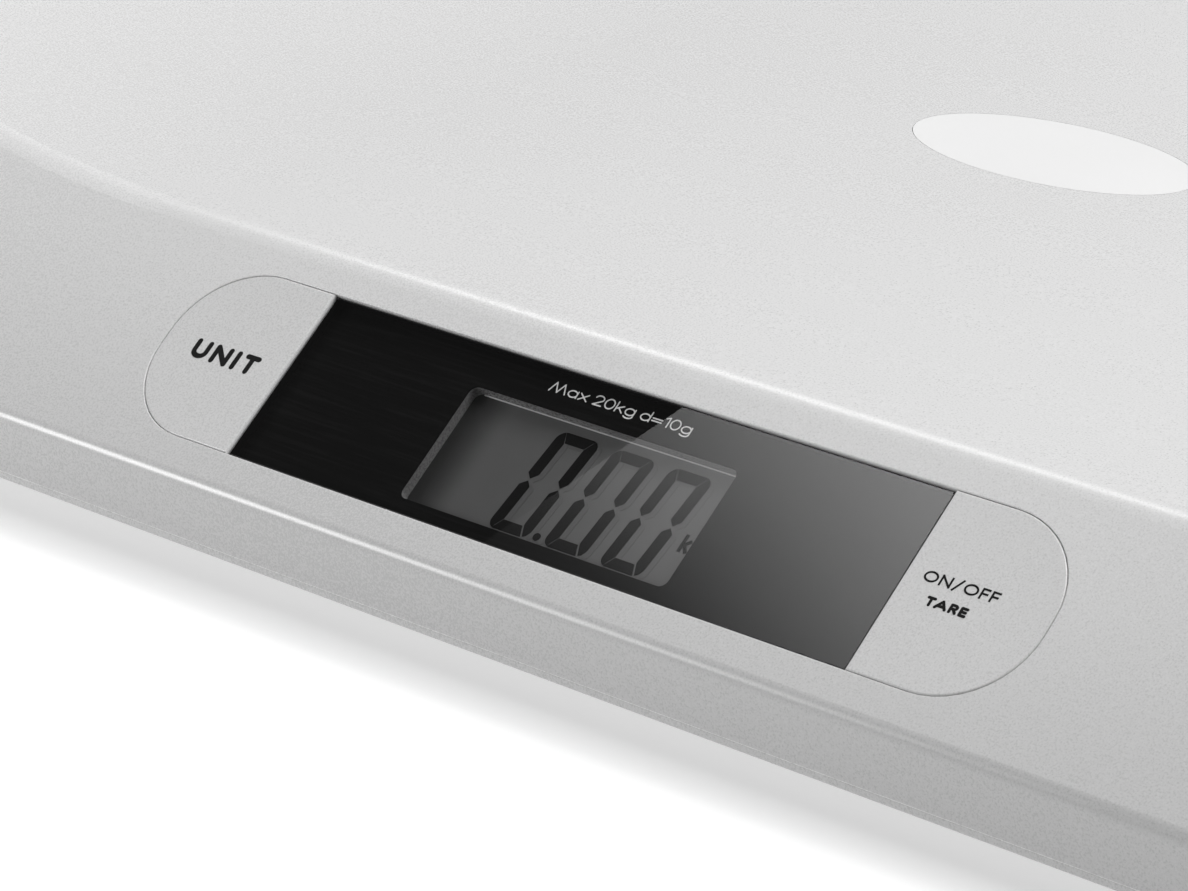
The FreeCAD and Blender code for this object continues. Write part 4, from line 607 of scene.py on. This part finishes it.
def merged(shapes: Sequence[Shape]) -> Shape:
    """Several shapes in one mesh."""
    starts = np.cumsum([0, *(len(shape.points) for shape in shapes)])
    pairs = [(face, int(start)) for shape, start in zip(shapes, starts) for face in shape.faces]
    points = np.concatenate([shape.points for shape in shapes])
    return Shape(points, [[corner + start for corner in face] for face, start in pairs])


def dress(finish: Finish, *nodes: str) -> None:
    """Give CAD nodes a finish.

    Args:
        finish: the finish.
        nodes: the nodes' names.
    """
    material = finish.make()
    for node in nodes:
        for slot in bpy.data.objects[node].material_slots:
            slot.material = material
        LOG.info("%s: %s", node, finish.name)


def at_corners(stem: str) -> List[str]:
    """The names of the four nodes of a kind that stand near the housing's corners."""
    return [f"{stem}_{corner}" for corner in CORNERS]


# --- drawn figures
class Tip(Enum):
    """How a drawn line ends: the angles in degrees of its stations beyond the path."""

    SQUARE = (90,)
    ROUND = (20, 40, 60, 80)


def ribbon(path: Array, half: float, tip: Tip, low: float, high: float) -> Shape:
    """A flat line of ink along a path.

    Its edges stand half a width to each side of the path, along the path's normal.  Its tips reach
    beyond the path's ends by half times the sine of each station's angle.  In a round tip the half
    width is half times the cosine there.

    Args:
        path: (n, 2) points.
        half: half of the line's width.
        tip: the ends' form.
        low: the height of the ink's foot.
        high: the height of its face.
    Returns:
        A closed shape in x, up and out.
    """
    steps = np.gradient(path, axis=0)
    along = steps / np.linalg.norm(steps, axis=1)[:, None]
    turn = np.radians(tip.value)
    reach = half * np.sin(turn)[:, None]
    narrow = half * np.cos(turn) if tip is Tip.ROUND else np.array([half])
    path = np.concatenate([path[0] - along[0] * reach[::-1], path, path[-1] + along[-1] * reach])
    along = np.concatenate([along[[0] * len(turn)], along, along[[-1] * len(turn)]])
    width = np.concatenate([narrow[::-1], np.full(len(path) - 2 * len(turn), half), narrow])
    side = np.stack([-along[:, 1], along[:, 0]], -1) * width[:, None]
    ring = ((path + side, low), (path + side, high), (path - side, high), (path - side, low))
    corners = [np.column_stack([edge, np.full(len(edge), out)]) for edge, out in ring]
    last = 4 * (len(path) - 1)
    ends = [[0, 1, 2, 3], [last + 3, last + 2, last + 1, last]]
    faces = grid_faces(len(path), 4, closed=True)[:, ::-1].tolist()
    return Shape(np.stack(corners, 1).reshape(-1, 3), faces + ends)


def plate(outline: Array, low: float, high: float) -> Shape:
    """A flat plate with an outline of (n, 2) points, anticlockwise, between two heights."""
    count = len(outline)
    levels = [np.column_stack([outline, np.full(count, out)]) for out in (low, high)]
    walls = grid_faces(2, count, closed=True).tolist()
    return Shape(np.concatenate(levels), [*walls, list(range(count, 2 * count)), list(range(count))[::-1]])


def turns_left(outline: Array) -> bool:
    """Whether an outline runs anticlockwise, which the shoelace formula's sign tells."""
    across, up = outline.T
    return bool(np.sum(across * np.roll(up, -1) - np.roll(across, -1) * up) > 0)


def line(start: Sequence[float], end: Sequence[float]) -> Array:
    """A straight path of two points and their middle."""
    return np.linspace(start, end, 3)


def strokes(*ends: Tuple[float, float, float, float]) -> List[Array]:
    """Straight paths, each from two numbers for its start and two for its end."""
    return [line(four[:2], four[2:]) for four in ends]


def arc(centre: Pair, radii: Pair, start: float, end: float,
        step: float = 12) -> Array:
    """An elliptic path about a centre between two angles, in degrees, with at most a step a station."""
    angles = np.radians(np.linspace(start, end, 2 + int(abs(end - start) / step)))
    return np.array(centre) + np.stack([radii[0] * np.cos(angles), radii[1] * np.sin(angles)], -1)


def joined(*paths: Array) -> Array:
    """One path through several that meet end to end."""
    return np.concatenate([paths[0], *(path[1:] for path in paths[1:])])


NOUGHT = arc((0.5, 0.5), (0.5, 0.5), 90, 450)
BOWL = arc((0.5, 0.34), (0.5, 0.34), 0, 360)

# Each letter's width as a share of the capitals' height, and its paths, in shares of both.
GLYPHS: Dict[str, Tuple[float, List[Array]]] = {
    " ": (0.11, []),
    "/": (0.5, strokes((0, -0.1, 1, 1.1))),
    "=": (0.66, strokes((0, 0.24, 1, 0.24), (0, 0.5, 1, 0.5))),
    "0": (0.62, [NOUGHT]),
    "1": (0.24, strokes((1, 0, 1, 1), (1, 1, 0, 0.82))),
    "2": (0.57, [joined(arc((0.5, 0.7), (0.5, 0.3), 170, -35), line((0.91, 0.53), (0, 0))),
                 line((0, 0), (1, 0))]),
    "A": (0.8, strokes((-0.18, 0, 0.45, 1), (0.45, 1, 1, 0), (0.05, 0.3, 0.83, 0.3))),
    "E": (0.5, strokes((0, 0, 0, 1), (0, 1, 1, 1), (0, 0.5, 0.9, 0.5), (0, 0, 1, 0))),
    "F": (0.48, strokes((0, 0, 0, 1), (0, 1, 1, 1), (0, 0.5, 0.9, 0.5))),
    "I": (0.0, strokes((0, 0, 0, 1))),
    "M": (1.13, strokes((0, 0, 0.23, 1), (0.23, 1, 0.5, 0), (0.5, 0, 0.76, 1), (0.76, 1, 1, 0))),
    "N": (0.74, strokes((0, 0, 0, 1), (0, 1, 1, 0), (1, 0, 1, 1))),
    "O": (0.95, [NOUGHT]),
    "R": (0.55, [line((0, 0), (0, 1)),
                 joined(line((0, 1), (0.55, 1)), arc((0.55, 0.74), (0.45, 0.26), 90, -90),
                        line((0.55, 0.48), (0, 0.48))),
                 line((0.5, 0.48), (1, 0))]),
    "T": (0.62, strokes((0, 1, 1, 1), (0.5, 1, 0.5, 0))),
    "U": (0.66, [joined(line((0, 1), (0, 0.36)), arc((0.5, 0.36), (0.5, 0.36), 180, 360),
                        line((1, 0.36), (1, 1)))]),
    "a": (0.62, [BOWL, line((1, 0.68), (1, 0))]),
    "d": (0.62, [BOWL, line((1, 1), (1, 0))]),
    "g": (0.62, [BOWL, joined(line((1, 0.68), (1, -0.08)), arc((0.5, -0.08), (0.5, 0.24), 0, -150))]),
    "k": (0.5, strokes((0, 0, 0, 1), (0, 0.28, 0.95, 0.68), (0.35, 0.42, 1, 0))),
    "x": (0.58, strokes((0, 0, 1, 0.68), (0, 0.68, 1, 0))),
}


@dataclass(frozen=True)
class Lettering:
    """A style of drawn letters, whose ink has a relief above the surface and sinks below it."""

    cap: float
    weight: float
    gap: float
    stretch: float
    tip: Tip
    relief: float = 0.03 * MM
    sink: float = 0.05 * MM
    step: float = 0.0015 * MM

    def word(self, text: str, left: float, baseline: float, out: float) -> Shape:
        """Draw a word, with each stroke's face a step above the one before, so that none coincide.

        Args:
            text: the word.
            left: where its first letter starts.
            baseline: how far up its baseline lies.
            out: the height of the surface that it is printed on.
        Returns:
            Its closed strokes in x, up and out.
        """
        tall = self.cap - self.weight
        shapes: List[Shape] = []
        for letter in text:
            share, paths = GLYPHS[letter]
            wide = share * self.cap * self.stretch
            for path in paths:
                spot = path * (wide, tall) + (left + self.weight / 2, baseline + self.weight / 2)
                face = out + self.relief + self.step * len(shapes)
                shapes.append(ribbon(spot, self.weight / 2, self.tip, out - self.sink, face))
            left += wide + self.weight + self.gap
        return merged(shapes)


@dataclass(frozen=True)
class Figure:
    """A slanted seven-segment nought without its middle bar, in metres.

    Its outline is a rectangle with round corners and its inside a sharp one.  At each corner a parting
    line runs from the sharp corner outwards, back towards the side by the mitre, and the side segments
    end in points at the middle.  A point's slopes start and its tip stops short of the middle by the
    point and the notch.  Slits part the segments, and a wider gape parts the two at the lower right.
    """

    width: float = 9.5 * MM
    height: float = 22.47 * MM
    side: float = 2.42 * MM
    bar: float = 2.25 * MM
    radius: float = 1.9 * MM
    mitre: float = 1.2 * MM
    middle: float = 11.25 * MM
    slit: float = 0.14 * MM
    gape: float = 0.36 * MM
    point: float = 1.37 * MM
    notch: float = 0.26 * MM
    slant: float = 0.11

    def parting(self, shift: float) -> float:
        """The angle in degrees at which a corner's arc meets its parting line.

        With the arc's centre one radius in from both edges, the line is met where the cosine of the
        angle plus the line's lean equals the line's distance from the centre over the radius.

        Args:
            shift: how far the line is moved towards the bar.
        Returns:
            The angle, between 180 on the side's edge and 270 on the bar's.
        """
        slope = math.hypot(self.bar, self.mitre)
        away = self.bar * (self.side - self.mitre) + shift * slope - (self.bar - self.mitre) * self.radius
        lean = math.degrees(math.atan2(self.mitre, self.bar))
        return 360 - math.degrees(math.acos(away / (self.radius * slope))) - lean

    def side_segment(self, right: bool, top: bool) -> Array:
        """One side segment, worked out from its corner inwards as (across, down) and then mirrored.

        Args:
            right: whether it stands on the right.
            top: whether it is an upper one.
        Returns:
            Its outline.
        """
        slit = (self.gape if right and not top else self.slit) / 2
        end = self.height - self.middle if top else self.middle
        start = self.bar + slit * math.hypot(self.bar, self.mitre) / self.mitre
        turn = (self.radius, self.radius)
        corner = arc(turn, turn, 180, self.parting(-slit))
        inner = [(self.side, start), (self.side, end - self.point)]
        tip = [(self.side / 2, end - self.notch), (0, end - self.point)]
        local = np.concatenate([inner, tip, corner])
        across = self.width - local[:, 0] if right else local[:, 0]
        up = self.height - local[:, 1] if top else local[:, 1]
        return np.stack([across, up], -1)

    def bar_segment(self, top: bool) -> Array:
        """The upper or the lower segment, worked out from its outer edge inwards and then mirrored."""
        slits = (self.slit / 2, (self.slit if top else self.gape) / 2)
        turns = [self.parting(slit) for slit in slits]
        inset = [self.side + slit * math.hypot(self.bar, self.mitre) / self.bar for slit in slits]
        turn = (self.radius, self.radius)
        left = arc(turn, turn, turns[0], 270)
        right = arc((self.width - self.radius, self.radius), turn, 270, 540 - turns[1])
        inner = [(self.width - inset[1], self.bar), (inset[0], self.bar)]
        local = np.concatenate([left, right, inner])
        up = self.height - local[:, 1] if top else local[:, 1]
        return np.stack([local[:, 0], up], -1)

    def outlines(self) -> List[Array]:
        """The outlines of the six segments, leaning to the right by the slant."""
        sides = [self.side_segment(right, top) for right in (False, True) for top in (False, True)]
        upright = [*sides, self.bar_segment(False), self.bar_segment(True)]
        return [outline + outline[:, 1:] * (self.slant, 0) for outline in upright]


# --- sub-assemblies
@dataclass
class Display:
    """The window, its print, the crystal glass with its figures, and what holds them.

    The noughts' lower left corners stand a pitch apart from the first one on, all on one foot line.
    The aperture's edges are those of the frame's walls at the glass.  The painted shade on the glass
    starts inside the left one, and the bead, a painted highlight, runs along the upper one and round
    the right corner.
    """

    panel: Panel
    print_depth: float = PRINT_DEPTH
    glass_depth: float = 5.2 * MM
    relief: float = 0.05 * MM
    figure: Figure = Figure()
    figures: int = 3
    first: float = -14.21 * MM
    pitch: float = 13.03 * MM
    foot: float = -13.47 * MM
    point: Pair = (-2.9 * MM, -12.37 * MM)
    point_radius: float = 0.8 * MM
    shadow: Pair = (1.2 * MM, -0.5 * MM)
    shadow_relief: float = 0.01 * MM
    shadow_share: float = 0.9
    unit: Lettering = Lettering(3.73 * MM, 0.7 * MM, gap=0.5 * MM, stretch=0.72, tip=Tip.SQUARE)
    unit_place: Pair = (25.1 * MM, -6.23 * MM)
    range_style: Lettering = Lettering(2.3 * MM, 0.26 * MM, gap=0.35 * MM, stretch=1.42, tip=Tip.ROUND)
    range_place: Pair = (-17.75 * MM, 14.68 * MM)
    aperture_left: float = -33.35 * MM
    aperture_right: float = 29.15 * MM
    aperture_top: float = 11.15 * MM
    aperture_radius: float = 1.7 * MM
    shade_inset: float = 2.85 * MM
    bead: float = 0.17 * MM
    bead_rise: float = 0.15 * MM
    bead_stations: int = 40

    def outlines(self) -> List[Array]:
        """The outlines of the noughts' segments and of the point, anticlockwise."""
        drawn = [
            outline + (self.first + self.pitch * place, self.foot)
            for place in range(self.figures)
            for outline in self.figure.outlines()
        ]
        drawn.append(arc(self.point, (self.point_radius, self.point_radius), 0, 350))
        return [outline if turns_left(outline) else outline[::-1] for outline in drawn]

    def segments(self) -> Shape:
        """The noughts, the point and the unit sign, as thin plates on the glass."""
        unit = self.unit.word("kg", *self.unit_place, -self.glass_depth)
        foot, face = -self.glass_depth - self.relief, -self.glass_depth + self.relief
        return merged([unit, *(plate(outline, foot, face) for outline in self.outlines())])

    def shadows(self) -> Shape:
        """The segments' faint shadows, beside them and lower than they are."""
        foot, face = -self.glass_depth - self.relief / 2, -self.glass_depth + self.shadow_relief
        return merged([plate(outline + self.shadow, foot, face) for outline in self.outlines()])

    def painted_highlight_bead(self) -> Shape:
        """A thin light bead along the foot of the frame's upper wall and round its right corner: a painted
        highlight.
        """
        radius = self.aperture_radius - self.bead
        top = self.aperture_top - self.bead
        left = self.aperture_left + self.aperture_radius
        turn = (self.aperture_right - self.aperture_radius, self.aperture_top - self.aperture_radius)
        straight = np.linspace((left, top), (turn[0], top), self.bead_stations)
        path = joined(straight, arc(turn, (radius, radius), 90, 0))
        foot, face = -self.glass_depth - self.relief, -self.glass_depth + self.bead_rise
        return ribbon(path, self.bead / 2, Tip.SQUARE, foot, face)

    def build(self) -> None:
        """Make the figures, the prints and the bead, and give the CAD nodes their finishes."""
        place = self.panel.place
        glass = CrystalGlass("crystal_glass", self.panel, self.aperture_left + self.shade_inset)
        shade = replace(glass, name="figure_shade", colour=glass.colour * self.shadow_share)
        words = self.range_style.word("Max 20kg d=10g", *self.range_place, -self.print_depth)
        black = Ink("segment_ink", 0.008, shine=0.0).make()
        # A light ink for the frame's bead, a painted highlight line.
        edge = Ink("painted_highlight_ink", 0.65, shine=0.3).make()
        white = Ink("white_ink", 0.75).make()
        self.segments().placed(place).piece("lcd_figures", black, "root", "mask_black")
        self.shadows().placed(place).piece("lcd_figure_shadows", shade.make(), "root", "lcd_panel")
        self.painted_highlight_bead().placed(place).piece("painted_highlight_bead", edge, "root", "holder_grey")
        words.placed(place).piece("weighing_range_print", white, "root", "inlay_white")
        dress(ClearPanel("window_clear_plastic", self.panel.tilt), "display_window")
        dress(BrushedMask("window_black_print", self.panel.tilt), "window_mask")
        dress(SatinPlastic("holder_plastic", neutral(0.16)), "lcd_holder")
        dress(glass, "lcd_glass")
        dress(Rubber("contact_rubber", (0.05, 0.05, 0.06)), "zebra_strip_lower", "zebra_strip_upper")
        dress(Metal("reflector_film", (0.7, 0.72, 0.72), roughness=0.35), "lcd_reflector")


@dataclass
class Keys:
    """The two keys beside the window, with their words and the switches under them."""

    panel: Panel
    face: float = 0.0
    unit: Lettering = Lettering(4.3 * MM, 1.1 * MM, gap=1.08 * MM, stretch=1.03, tip=Tip.ROUND)
    unit_place: Pair = (-94.7 * MM, -2.68 * MM)
    power: Lettering = Lettering(2.22 * MM, 0.39 * MM, gap=0.45 * MM, stretch=1.18, tip=Tip.SQUARE)
    power_place: Pair = (75.95 * MM, 0.98 * MM)
    tare: Lettering = Lettering(1.97 * MM, 0.55 * MM, gap=0.36 * MM, stretch=1.08, tip=Tip.ROUND)
    tare_place: Pair = (78.9 * MM, -3.3 * MM)

    def build(self) -> None:
        """Make the words and give the CAD nodes their finishes."""
        ink = Ink("black_ink", 0.006, shine=0.15).make()
        unit = self.unit.word("UNIT", *self.unit_place, self.face)
        power = self.power.word("ON/OFF", *self.power_place, self.face)
        power = merged([power, self.tare.word("TARE", *self.tare_place, self.face)])
        unit.placed(self.panel.place).piece("unit_legend", ink, "unit_key", "mask_black")
        power.placed(self.panel.place).piece("tare_legend", ink, "tare_key", "mask_black")
        dress(SatinPlastic("key_plastic", neutral(0.5)), "unit_button", "tare_button")
        dress(SatinPlastic("switch_plastic", neutral(0.03)), "unit_switch", "tare_switch")
        dress(Gloss("plunger_plastic", (0.16, 0.07, 0.03)), "unit_switch_plunger", "tare_switch_plunger")


@dataclass
class Housing:
    """The tray shell with its badge, and the cover with its screws.

    A bead fills the groove where the shell's foot meets the cover's rim, and its lighter plastic is a
    painted highlight: the bright line along the parting.  Its middle lies above the shell's foot by
    its rise and inside the housing's outline by its inset.
    """

    corner: float = 62.0 * MM
    bead: Pair = (0.13 * MM, 0.19 * MM)
    rise: float = 0.1 * MM
    inset: float = 0.14 * MM
    corner_stations: int = 31
    ring_stations: int = 12
    smooth: float = 60.0

    def parting_highlight_bead(self) -> Shape:
        """Sweep an elliptic ring round the shell's foot.

        The path has a quarter circle at each corner, of equal angular steps, and straight runs between
        them.  A point of the ring lies outside the path by the ring's cosine times its first radius, less
        the inset, and above the bead's middle by its sine times its second.

        Returns:
            The closed bead.
        """
        foot, far = (np.array(corner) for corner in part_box("tray_shell"))
        quarter = np.linspace(0, math.pi / 2, self.corner_stations)
        angles = np.concatenate([quarter + turn * math.pi / 2 for turn in range(4)])
        normals = np.stack([np.cos(angles), np.sin(angles)], -1)
        signs = np.repeat([(1, 1), (-1, 1), (-1, -1), (1, -1)], self.corner_stations, axis=0)
        path = signs * (far[:2] - self.corner) + normals * self.corner
        ring = np.arange(self.ring_stations) * 2 * math.pi / self.ring_stations
        out = self.bead[0] * np.cos(ring) - self.inset
        level = path[:, None, :] + normals[:, None, :] * out[None, :, None]
        up = np.broadcast_to(foot[2] + self.rise + self.bead[1] * np.sin(ring), level.shape[:2])
        points = np.concatenate([level, up[..., None]], -1).reshape(-1, 3)
        faces = grid_faces(len(path) + 1, self.ring_stations, closed=True) % len(points)
        return Shape(points, faces.tolist())

    def build(self) -> None:
        """Make the bead and give the CAD nodes their finishes."""
        # The bead's light plastic is a painted highlight along the parting line.
        edge = SatinPlastic("painted_highlight_plastic", neutral(0.68)).make()
        self.parting_highlight_bead().piece("parting_highlight_bead", edge, "root", "housing_grey", smooth=self.smooth)
        dress(SatinPlastic("tray_plastic", neutral(0.55), painted_low_shade=0.17), "tray_shell")
        dress(Gloss("badge_enamel", neutral(0.66)), "badge_inlay")
        dress(SatinPlastic("cover_plastic", neutral(0.49)), "bottom_cover")
        dress(Metal("screw_steel", (0.6, 0.6, 0.61)), "housing_screws", "seat_screws", "board_screws")


@dataclass
class Board:
    """The circuit board and what is soldered to it."""

    def build(self) -> None:
        """Give the CAD nodes their finishes."""
        dress(Laminate("solder_mask", (0.01, 0.09, 0.04)), "circuit_board")
        dress(SatinPlastic("chip_resin", (0.02, 0.02, 0.022)), "controller_chip")
        dress(Gloss("component_ceramic", (0.45, 0.36, 0.24)), "board_components")
        dress(SatinPlastic("socket_nylon", (0.7, 0.69, 0.64)), "lead_sockets")


@dataclass
class Feet:
    """The four load cells, each between a seat in the cover and a foot."""

    def build(self) -> None:
        """Give the CAD nodes their finishes."""
        dress(Rubber("pad_rubber", (0.06, 0.06, 0.062)), *at_corners("foot_pad"))
        dress(SatinPlastic("cup_plastic", neutral(0.34)), *at_corners("foot_cup"))
        dress(Metal("cell_steel", (0.55, 0.55, 0.56), roughness=0.34), *at_corners("load_cell"))
        dress(SatinPlastic("seat_plastic", (0.75, 0.75, 0.73)), *at_corners("load_cell_seat"))
        dress(Gloss("gauge_resin", (0.72, 0.71, 0.66), roughness=0.35), "strain_gauges")


@dataclass
class BatteryBay:
    """The cells, their contacts and the door."""

    cells: int = 4

    def build(self) -> None:
        """Give the CAD nodes their finishes."""
        cells = [f"battery_cell_{number}" for number in range(1, self.cells + 1)]
        dress(CellWrap("cell_sleeve", start=(9.0 * MM, 9.6 * MM)), *cells)
        nickel = Metal("contact_nickel", (0.72, 0.7, 0.65), roughness=0.22)
        dress(nickel, "battery_contacts", "battery_springs")
        dress(SatinPlastic("door_plastic", neutral(0.49)), "battery_door")


@dataclass
class Leads:
    """The leads from the load cells and the battery to the board."""

    def build(self) -> None:
        """Give the CAD nodes their finishes."""
        sleeve = Rubber("lead_sleeve", (0.025, 0.025, 0.027), dust=0.02)
        dress(sleeve, "battery_lead", *at_corners("load_cell_lead"))


# --- studio
@dataclass(frozen=True)
class Lamp:
    """A rectangular lamp: its middle, its length and width, its watts, what it faces and its length's run."""

    name: str
    place: Sequence[float]
    size: Pair
    power: float
    aim: Sequence[float] = (0, 0, 0)
    along: Sequence[float] = (1, 0, 0)

    def hang(self) -> None:
        """Add the lamp, with its length as near its run as facing the aim allows."""
        data = bpy.data.lights.new(self.name, "AREA")
        data.shape = "RECTANGLE"
        data.size, data.size_y = self.size
        data.energy = self.power
        lamp = linked(self.name, data)
        back = (Vector(self.place) - Vector(self.aim)).normalized()
        side = back.cross(Vector(self.along)).normalized()
        turn = Matrix((side.cross(back), side, back)).transposed()
        lamp.matrix_world = Matrix.Translation(self.place) @ turn.to_4x4()


@dataclass(frozen=True)
class Glint:
    """A strip lamp for a stretch of one of the tray's round edges to mirror.

    The stretch runs between two places along X on an edge given by its Y and Z.  The lean is how far
    the edge's middle leans forward, in degrees, and the power is that of each metre of the strip.
    """

    name: str
    stretch: Pair
    edge: Pair
    lean: float
    distance: float
    side: float
    power: float


# Where the tray's ridge and the shell's fold run, as Y and Z.
RIDGE = (-125.3 * MM, 50.9 * MM)
FOLD = (-169.0 * MM, 18.8 * MM)


@dataclass
class Studio:
    """The floor, the lights and the camera.

    The softbox's edge shows in the window between the edge's top and foot, and the softbox reaches past
    what the window's corners mirror by a margin.  The camera's angles are in degrees.
    """

    panel: Panel
    eye: Tuple[float, float, float] = (478.76 * MM, -706.49 * MM, 348.10 * MM)
    yaw: float = 40.2856
    pitch: float = 22.7373
    roll: float = -0.0512
    lens: float = 136.40
    sensor: float = 36.0
    lens_face: float = 0.7 * MM
    edge_top: Pair = (12.5 * MM, 19.15 * MM)
    edge_foot: Pair = (-2.9 * MM, -8.2 * MM)
    far_end: Pair = (74.0 * MM, 0.0 * MM)
    window_corners: Tuple[Pair, ...] = (
        (12.0 * MM, 20.0 * MM), (-8.0 * MM, -20.0 * MM), (76.0 * MM, 20.0 * MM), (76.0 * MM, -20.0 * MM)
    )
    distance: float = 1.6
    margin: float = 0.06
    glow_along: float = -0.15
    glow_across: float = 11.0
    glow_start: float = 3.65
    glow_bend: float = 1.476
    floor_half: float = 4.0
    floor_stations: int = 81
    floor_waves: Pair = (9.0, 7.0)
    floor_swell: float = 0.02 * MM
    floor_drop: float = 0.05 * MM
    floor_fleck: float = 500.0
    floor_colours: Pair = (0.44, 0.46)
    floor_roughness: float = 0.75
    floor_glow: float = 0.48
    world: float = 0.1
    lamps: Tuple[Lamp, ...] = (
        Lamp("overhead", place=(0.9, 1.0, 2.15), size=(2.4, 2.4), power=91),
        Lamp("right", place=(1.6, 0.7, 1.3), size=(0.8, 0.8), power=20),
    )
    glints: Tuple[Glint, ...] = (
        Glint("ridge_glint", (-0.06, 0.17), RIDGE, lean=17, distance=1.3, side=0.12, power=4.4),
        Glint("fold_glint", (-0.16, -0.045), FOLD, lean=63, distance=1.0, side=0.3, power=20.5),
        Glint("faint_fold_glint", (-0.04, 0.06), FOLD, lean=63, distance=1.0, side=0.3, power=7.0),
    )

    def camera(self) -> None:
        """Place the camera, turned by its yaw, pitched down and rolled a little."""
        yaw, pitch, roll = (math.radians(angle) for angle in (self.yaw, self.pitch, self.roll))
        data = bpy.data.cameras.new("camera")
        data.lens = self.lens
        data.sensor_width = self.sensor
        camera = linked("camera", data)
        turn = Matrix.Rotation(yaw, 4, "Z") @ Matrix.Rotation(math.pi / 2 - pitch, 4, "X")
        camera.matrix_world = Matrix.Translation(self.eye) @ turn @ Matrix.Rotation(roll, 4, "Z")
        bpy.context.scene.camera = camera

    def mirrored(self, point: Vector, lean: float) -> Vector:
        """Mirror the camera's sight of a point in a face there.

        Args:
            point: the point.
            lean: how far the face leans forward from lying flat, in radians.
        Returns:
            The mirrored direction.
        """
        sight = (point - Vector(self.eye)).normalized()
        normal = Vector((0, -math.sin(lean), math.cos(lean)))
        return sight - 2 * sight.dot(normal) * normal

    def hang_glint(self, glint: Glint) -> None:
        """Hang a glint's strip where the edge's middle mirrors it."""
        ends = [Vector((x, *glint.edge)) for x in glint.stretch]
        lean = math.radians(glint.lean)
        left, right = (end + glint.distance * self.mirrored(end, lean) for end in ends)
        length = (right - left).length
        middle = (ends[0] + ends[1]) / 2
        power = glint.power * length
        Lamp(glint.name, (left + right) / 2, (length, glint.side), power, middle, right - left).hang()

    def softbox(self) -> None:
        """Hang the softbox whose edge shows in the window.

        Its plane holds three points that lie a set distance along mirrored rays: those of the edge's two
        ends and of the window's far end.  Where the mirrored rays of the window's corners meet that plane
        gives how far the softbox reaches along its edge and across.
        """
        tilt = self.panel.tilt
        spots = np.array([self.edge_foot, self.edge_top, self.far_end, *self.window_corners])
        local = np.column_stack([spots, np.full(len(spots), -self.lens_face)])
        starts = [Vector(spot) for spot in self.panel.place(local)]
        foot, top, far = (start + self.distance * self.mirrored(start, tilt) for start in starts[:3])
        edge = (top - foot).normalized()
        normal = edge.cross(far - foot).normalized()
        across = normal.cross(edge)
        if across.dot(far - foot) < 0:
            across.negate()
        reach: List[Pair] = []
        for start in starts[3:]:
            ray = self.mirrored(start, tilt)
            met = start + ray * ((foot - start).dot(normal) / ray.dot(normal))
            reach.append(((met - foot).dot(edge), (met - foot).dot(across)))
        alongs, acrosses = zip(*reach)
        low, high = min(alongs) - self.margin, max(alongs) + self.margin
        wide = max(acrosses) + self.margin
        corners = [foot + edge * s + across * t for s, t in ((low, 0), (high, 0), (high, wide), (low, wide))]
        box = Shape(np.array(corners), [[0, 1, 2, 3]]).made("window_softbox", self.softbox_cloth())
        layer = box.data.uv_layers.new(name="across_and_up")
        layer.data.foreach_set("uv", [0, 0, 0, 1, 1, 1, 1, 0])
        box.visible_camera = False
        LOG.info("window softbox: %.2f by %.2f m", high - low, wide)

    def softbox_cloth(self) -> bpy.types.Material:
        """Build cloth that glows by a ramp with a rounded foot.

        The glow is half the sum of a slope and the root of the slope's square plus a bend.

        Returns:
            The material.
        """
        recipe = Recipe("softbox_cloth")
        where = recipe.node("ShaderNodeUVMap", {"uv_map": "across_and_up"})
        slope = recipe.axis(where, "X") * self.glow_along + recipe.axis(where, "Y") * self.glow_across
        slope = slope - self.glow_start
        level = (slope + (slope * slope + self.glow_bend).maths("SQRT")) * 0.5
        return recipe.close(recipe.node("ShaderNodeEmission", inputs={"Strength": level}))

    def floor(self) -> None:
        """Lay the floor: a plate with a hair of unevenness, from the sum of two low sine waves."""
        stations = np.linspace(-self.floor_half, self.floor_half, self.floor_stations)
        across, along = np.meshgrid(stations, stations)
        waves = np.sin(across * self.floor_waves[0]) + np.sin(along * self.floor_waves[1])
        points = np.stack([across, along, self.floor_swell * waves - self.floor_drop], -1).reshape(-1, 3)
        faces = grid_faces(self.floor_stations, self.floor_stations).tolist()
        recipe = Recipe("lit_paper")
        fleck = recipe.noise(recipe.place(), scale=self.floor_fleck)
        paper = recipe.surface(
            Base_Color=recipe.mix(fleck, *(grey(level) for level in self.floor_colours)),
            Roughness=fleck.swing(0.1) + self.floor_roughness,
            Emission_Color=grey(1.0),
            Emission_Strength=self.floor_glow,
        )
        Shape(points, faces).made("floor", recipe.close(paper))

    def build(self) -> None:
        """Make the camera, the floor, the softbox and the lamps."""
        scene = bpy.context.scene
        scene.view_settings.view_transform = "Standard"
        world = bpy.data.worlds.new("studio")
        world.use_nodes = True
        world.node_tree.nodes["Background"].inputs["Color"].default_value = grey(self.world)
        scene.world = world
        self.camera()
        self.floor()
        self.softbox()
        for lamp in self.lamps:
            lamp.hang()
        for glint in self.glints:
            self.hang_glint(glint)
        LOG.info("studio ready")


def main() -> None:
    """Build the sub-assemblies in order."""
    logging.basicConfig(level=logging.INFO, format="%(message)s")
    panel = Panel.find(PRINT_DEPTH + PRINT_THICKNESS / 2)
    pieces = (Housing(), Display(panel), Keys(panel), Board(), Feet(), BatteryBay(), Leads())
    for assembly in (*pieces, Studio(panel)):
        assembly.build()
        LOG.info("%s finished", type(assembly).__name__)


if __name__ == "__main__":
    main()
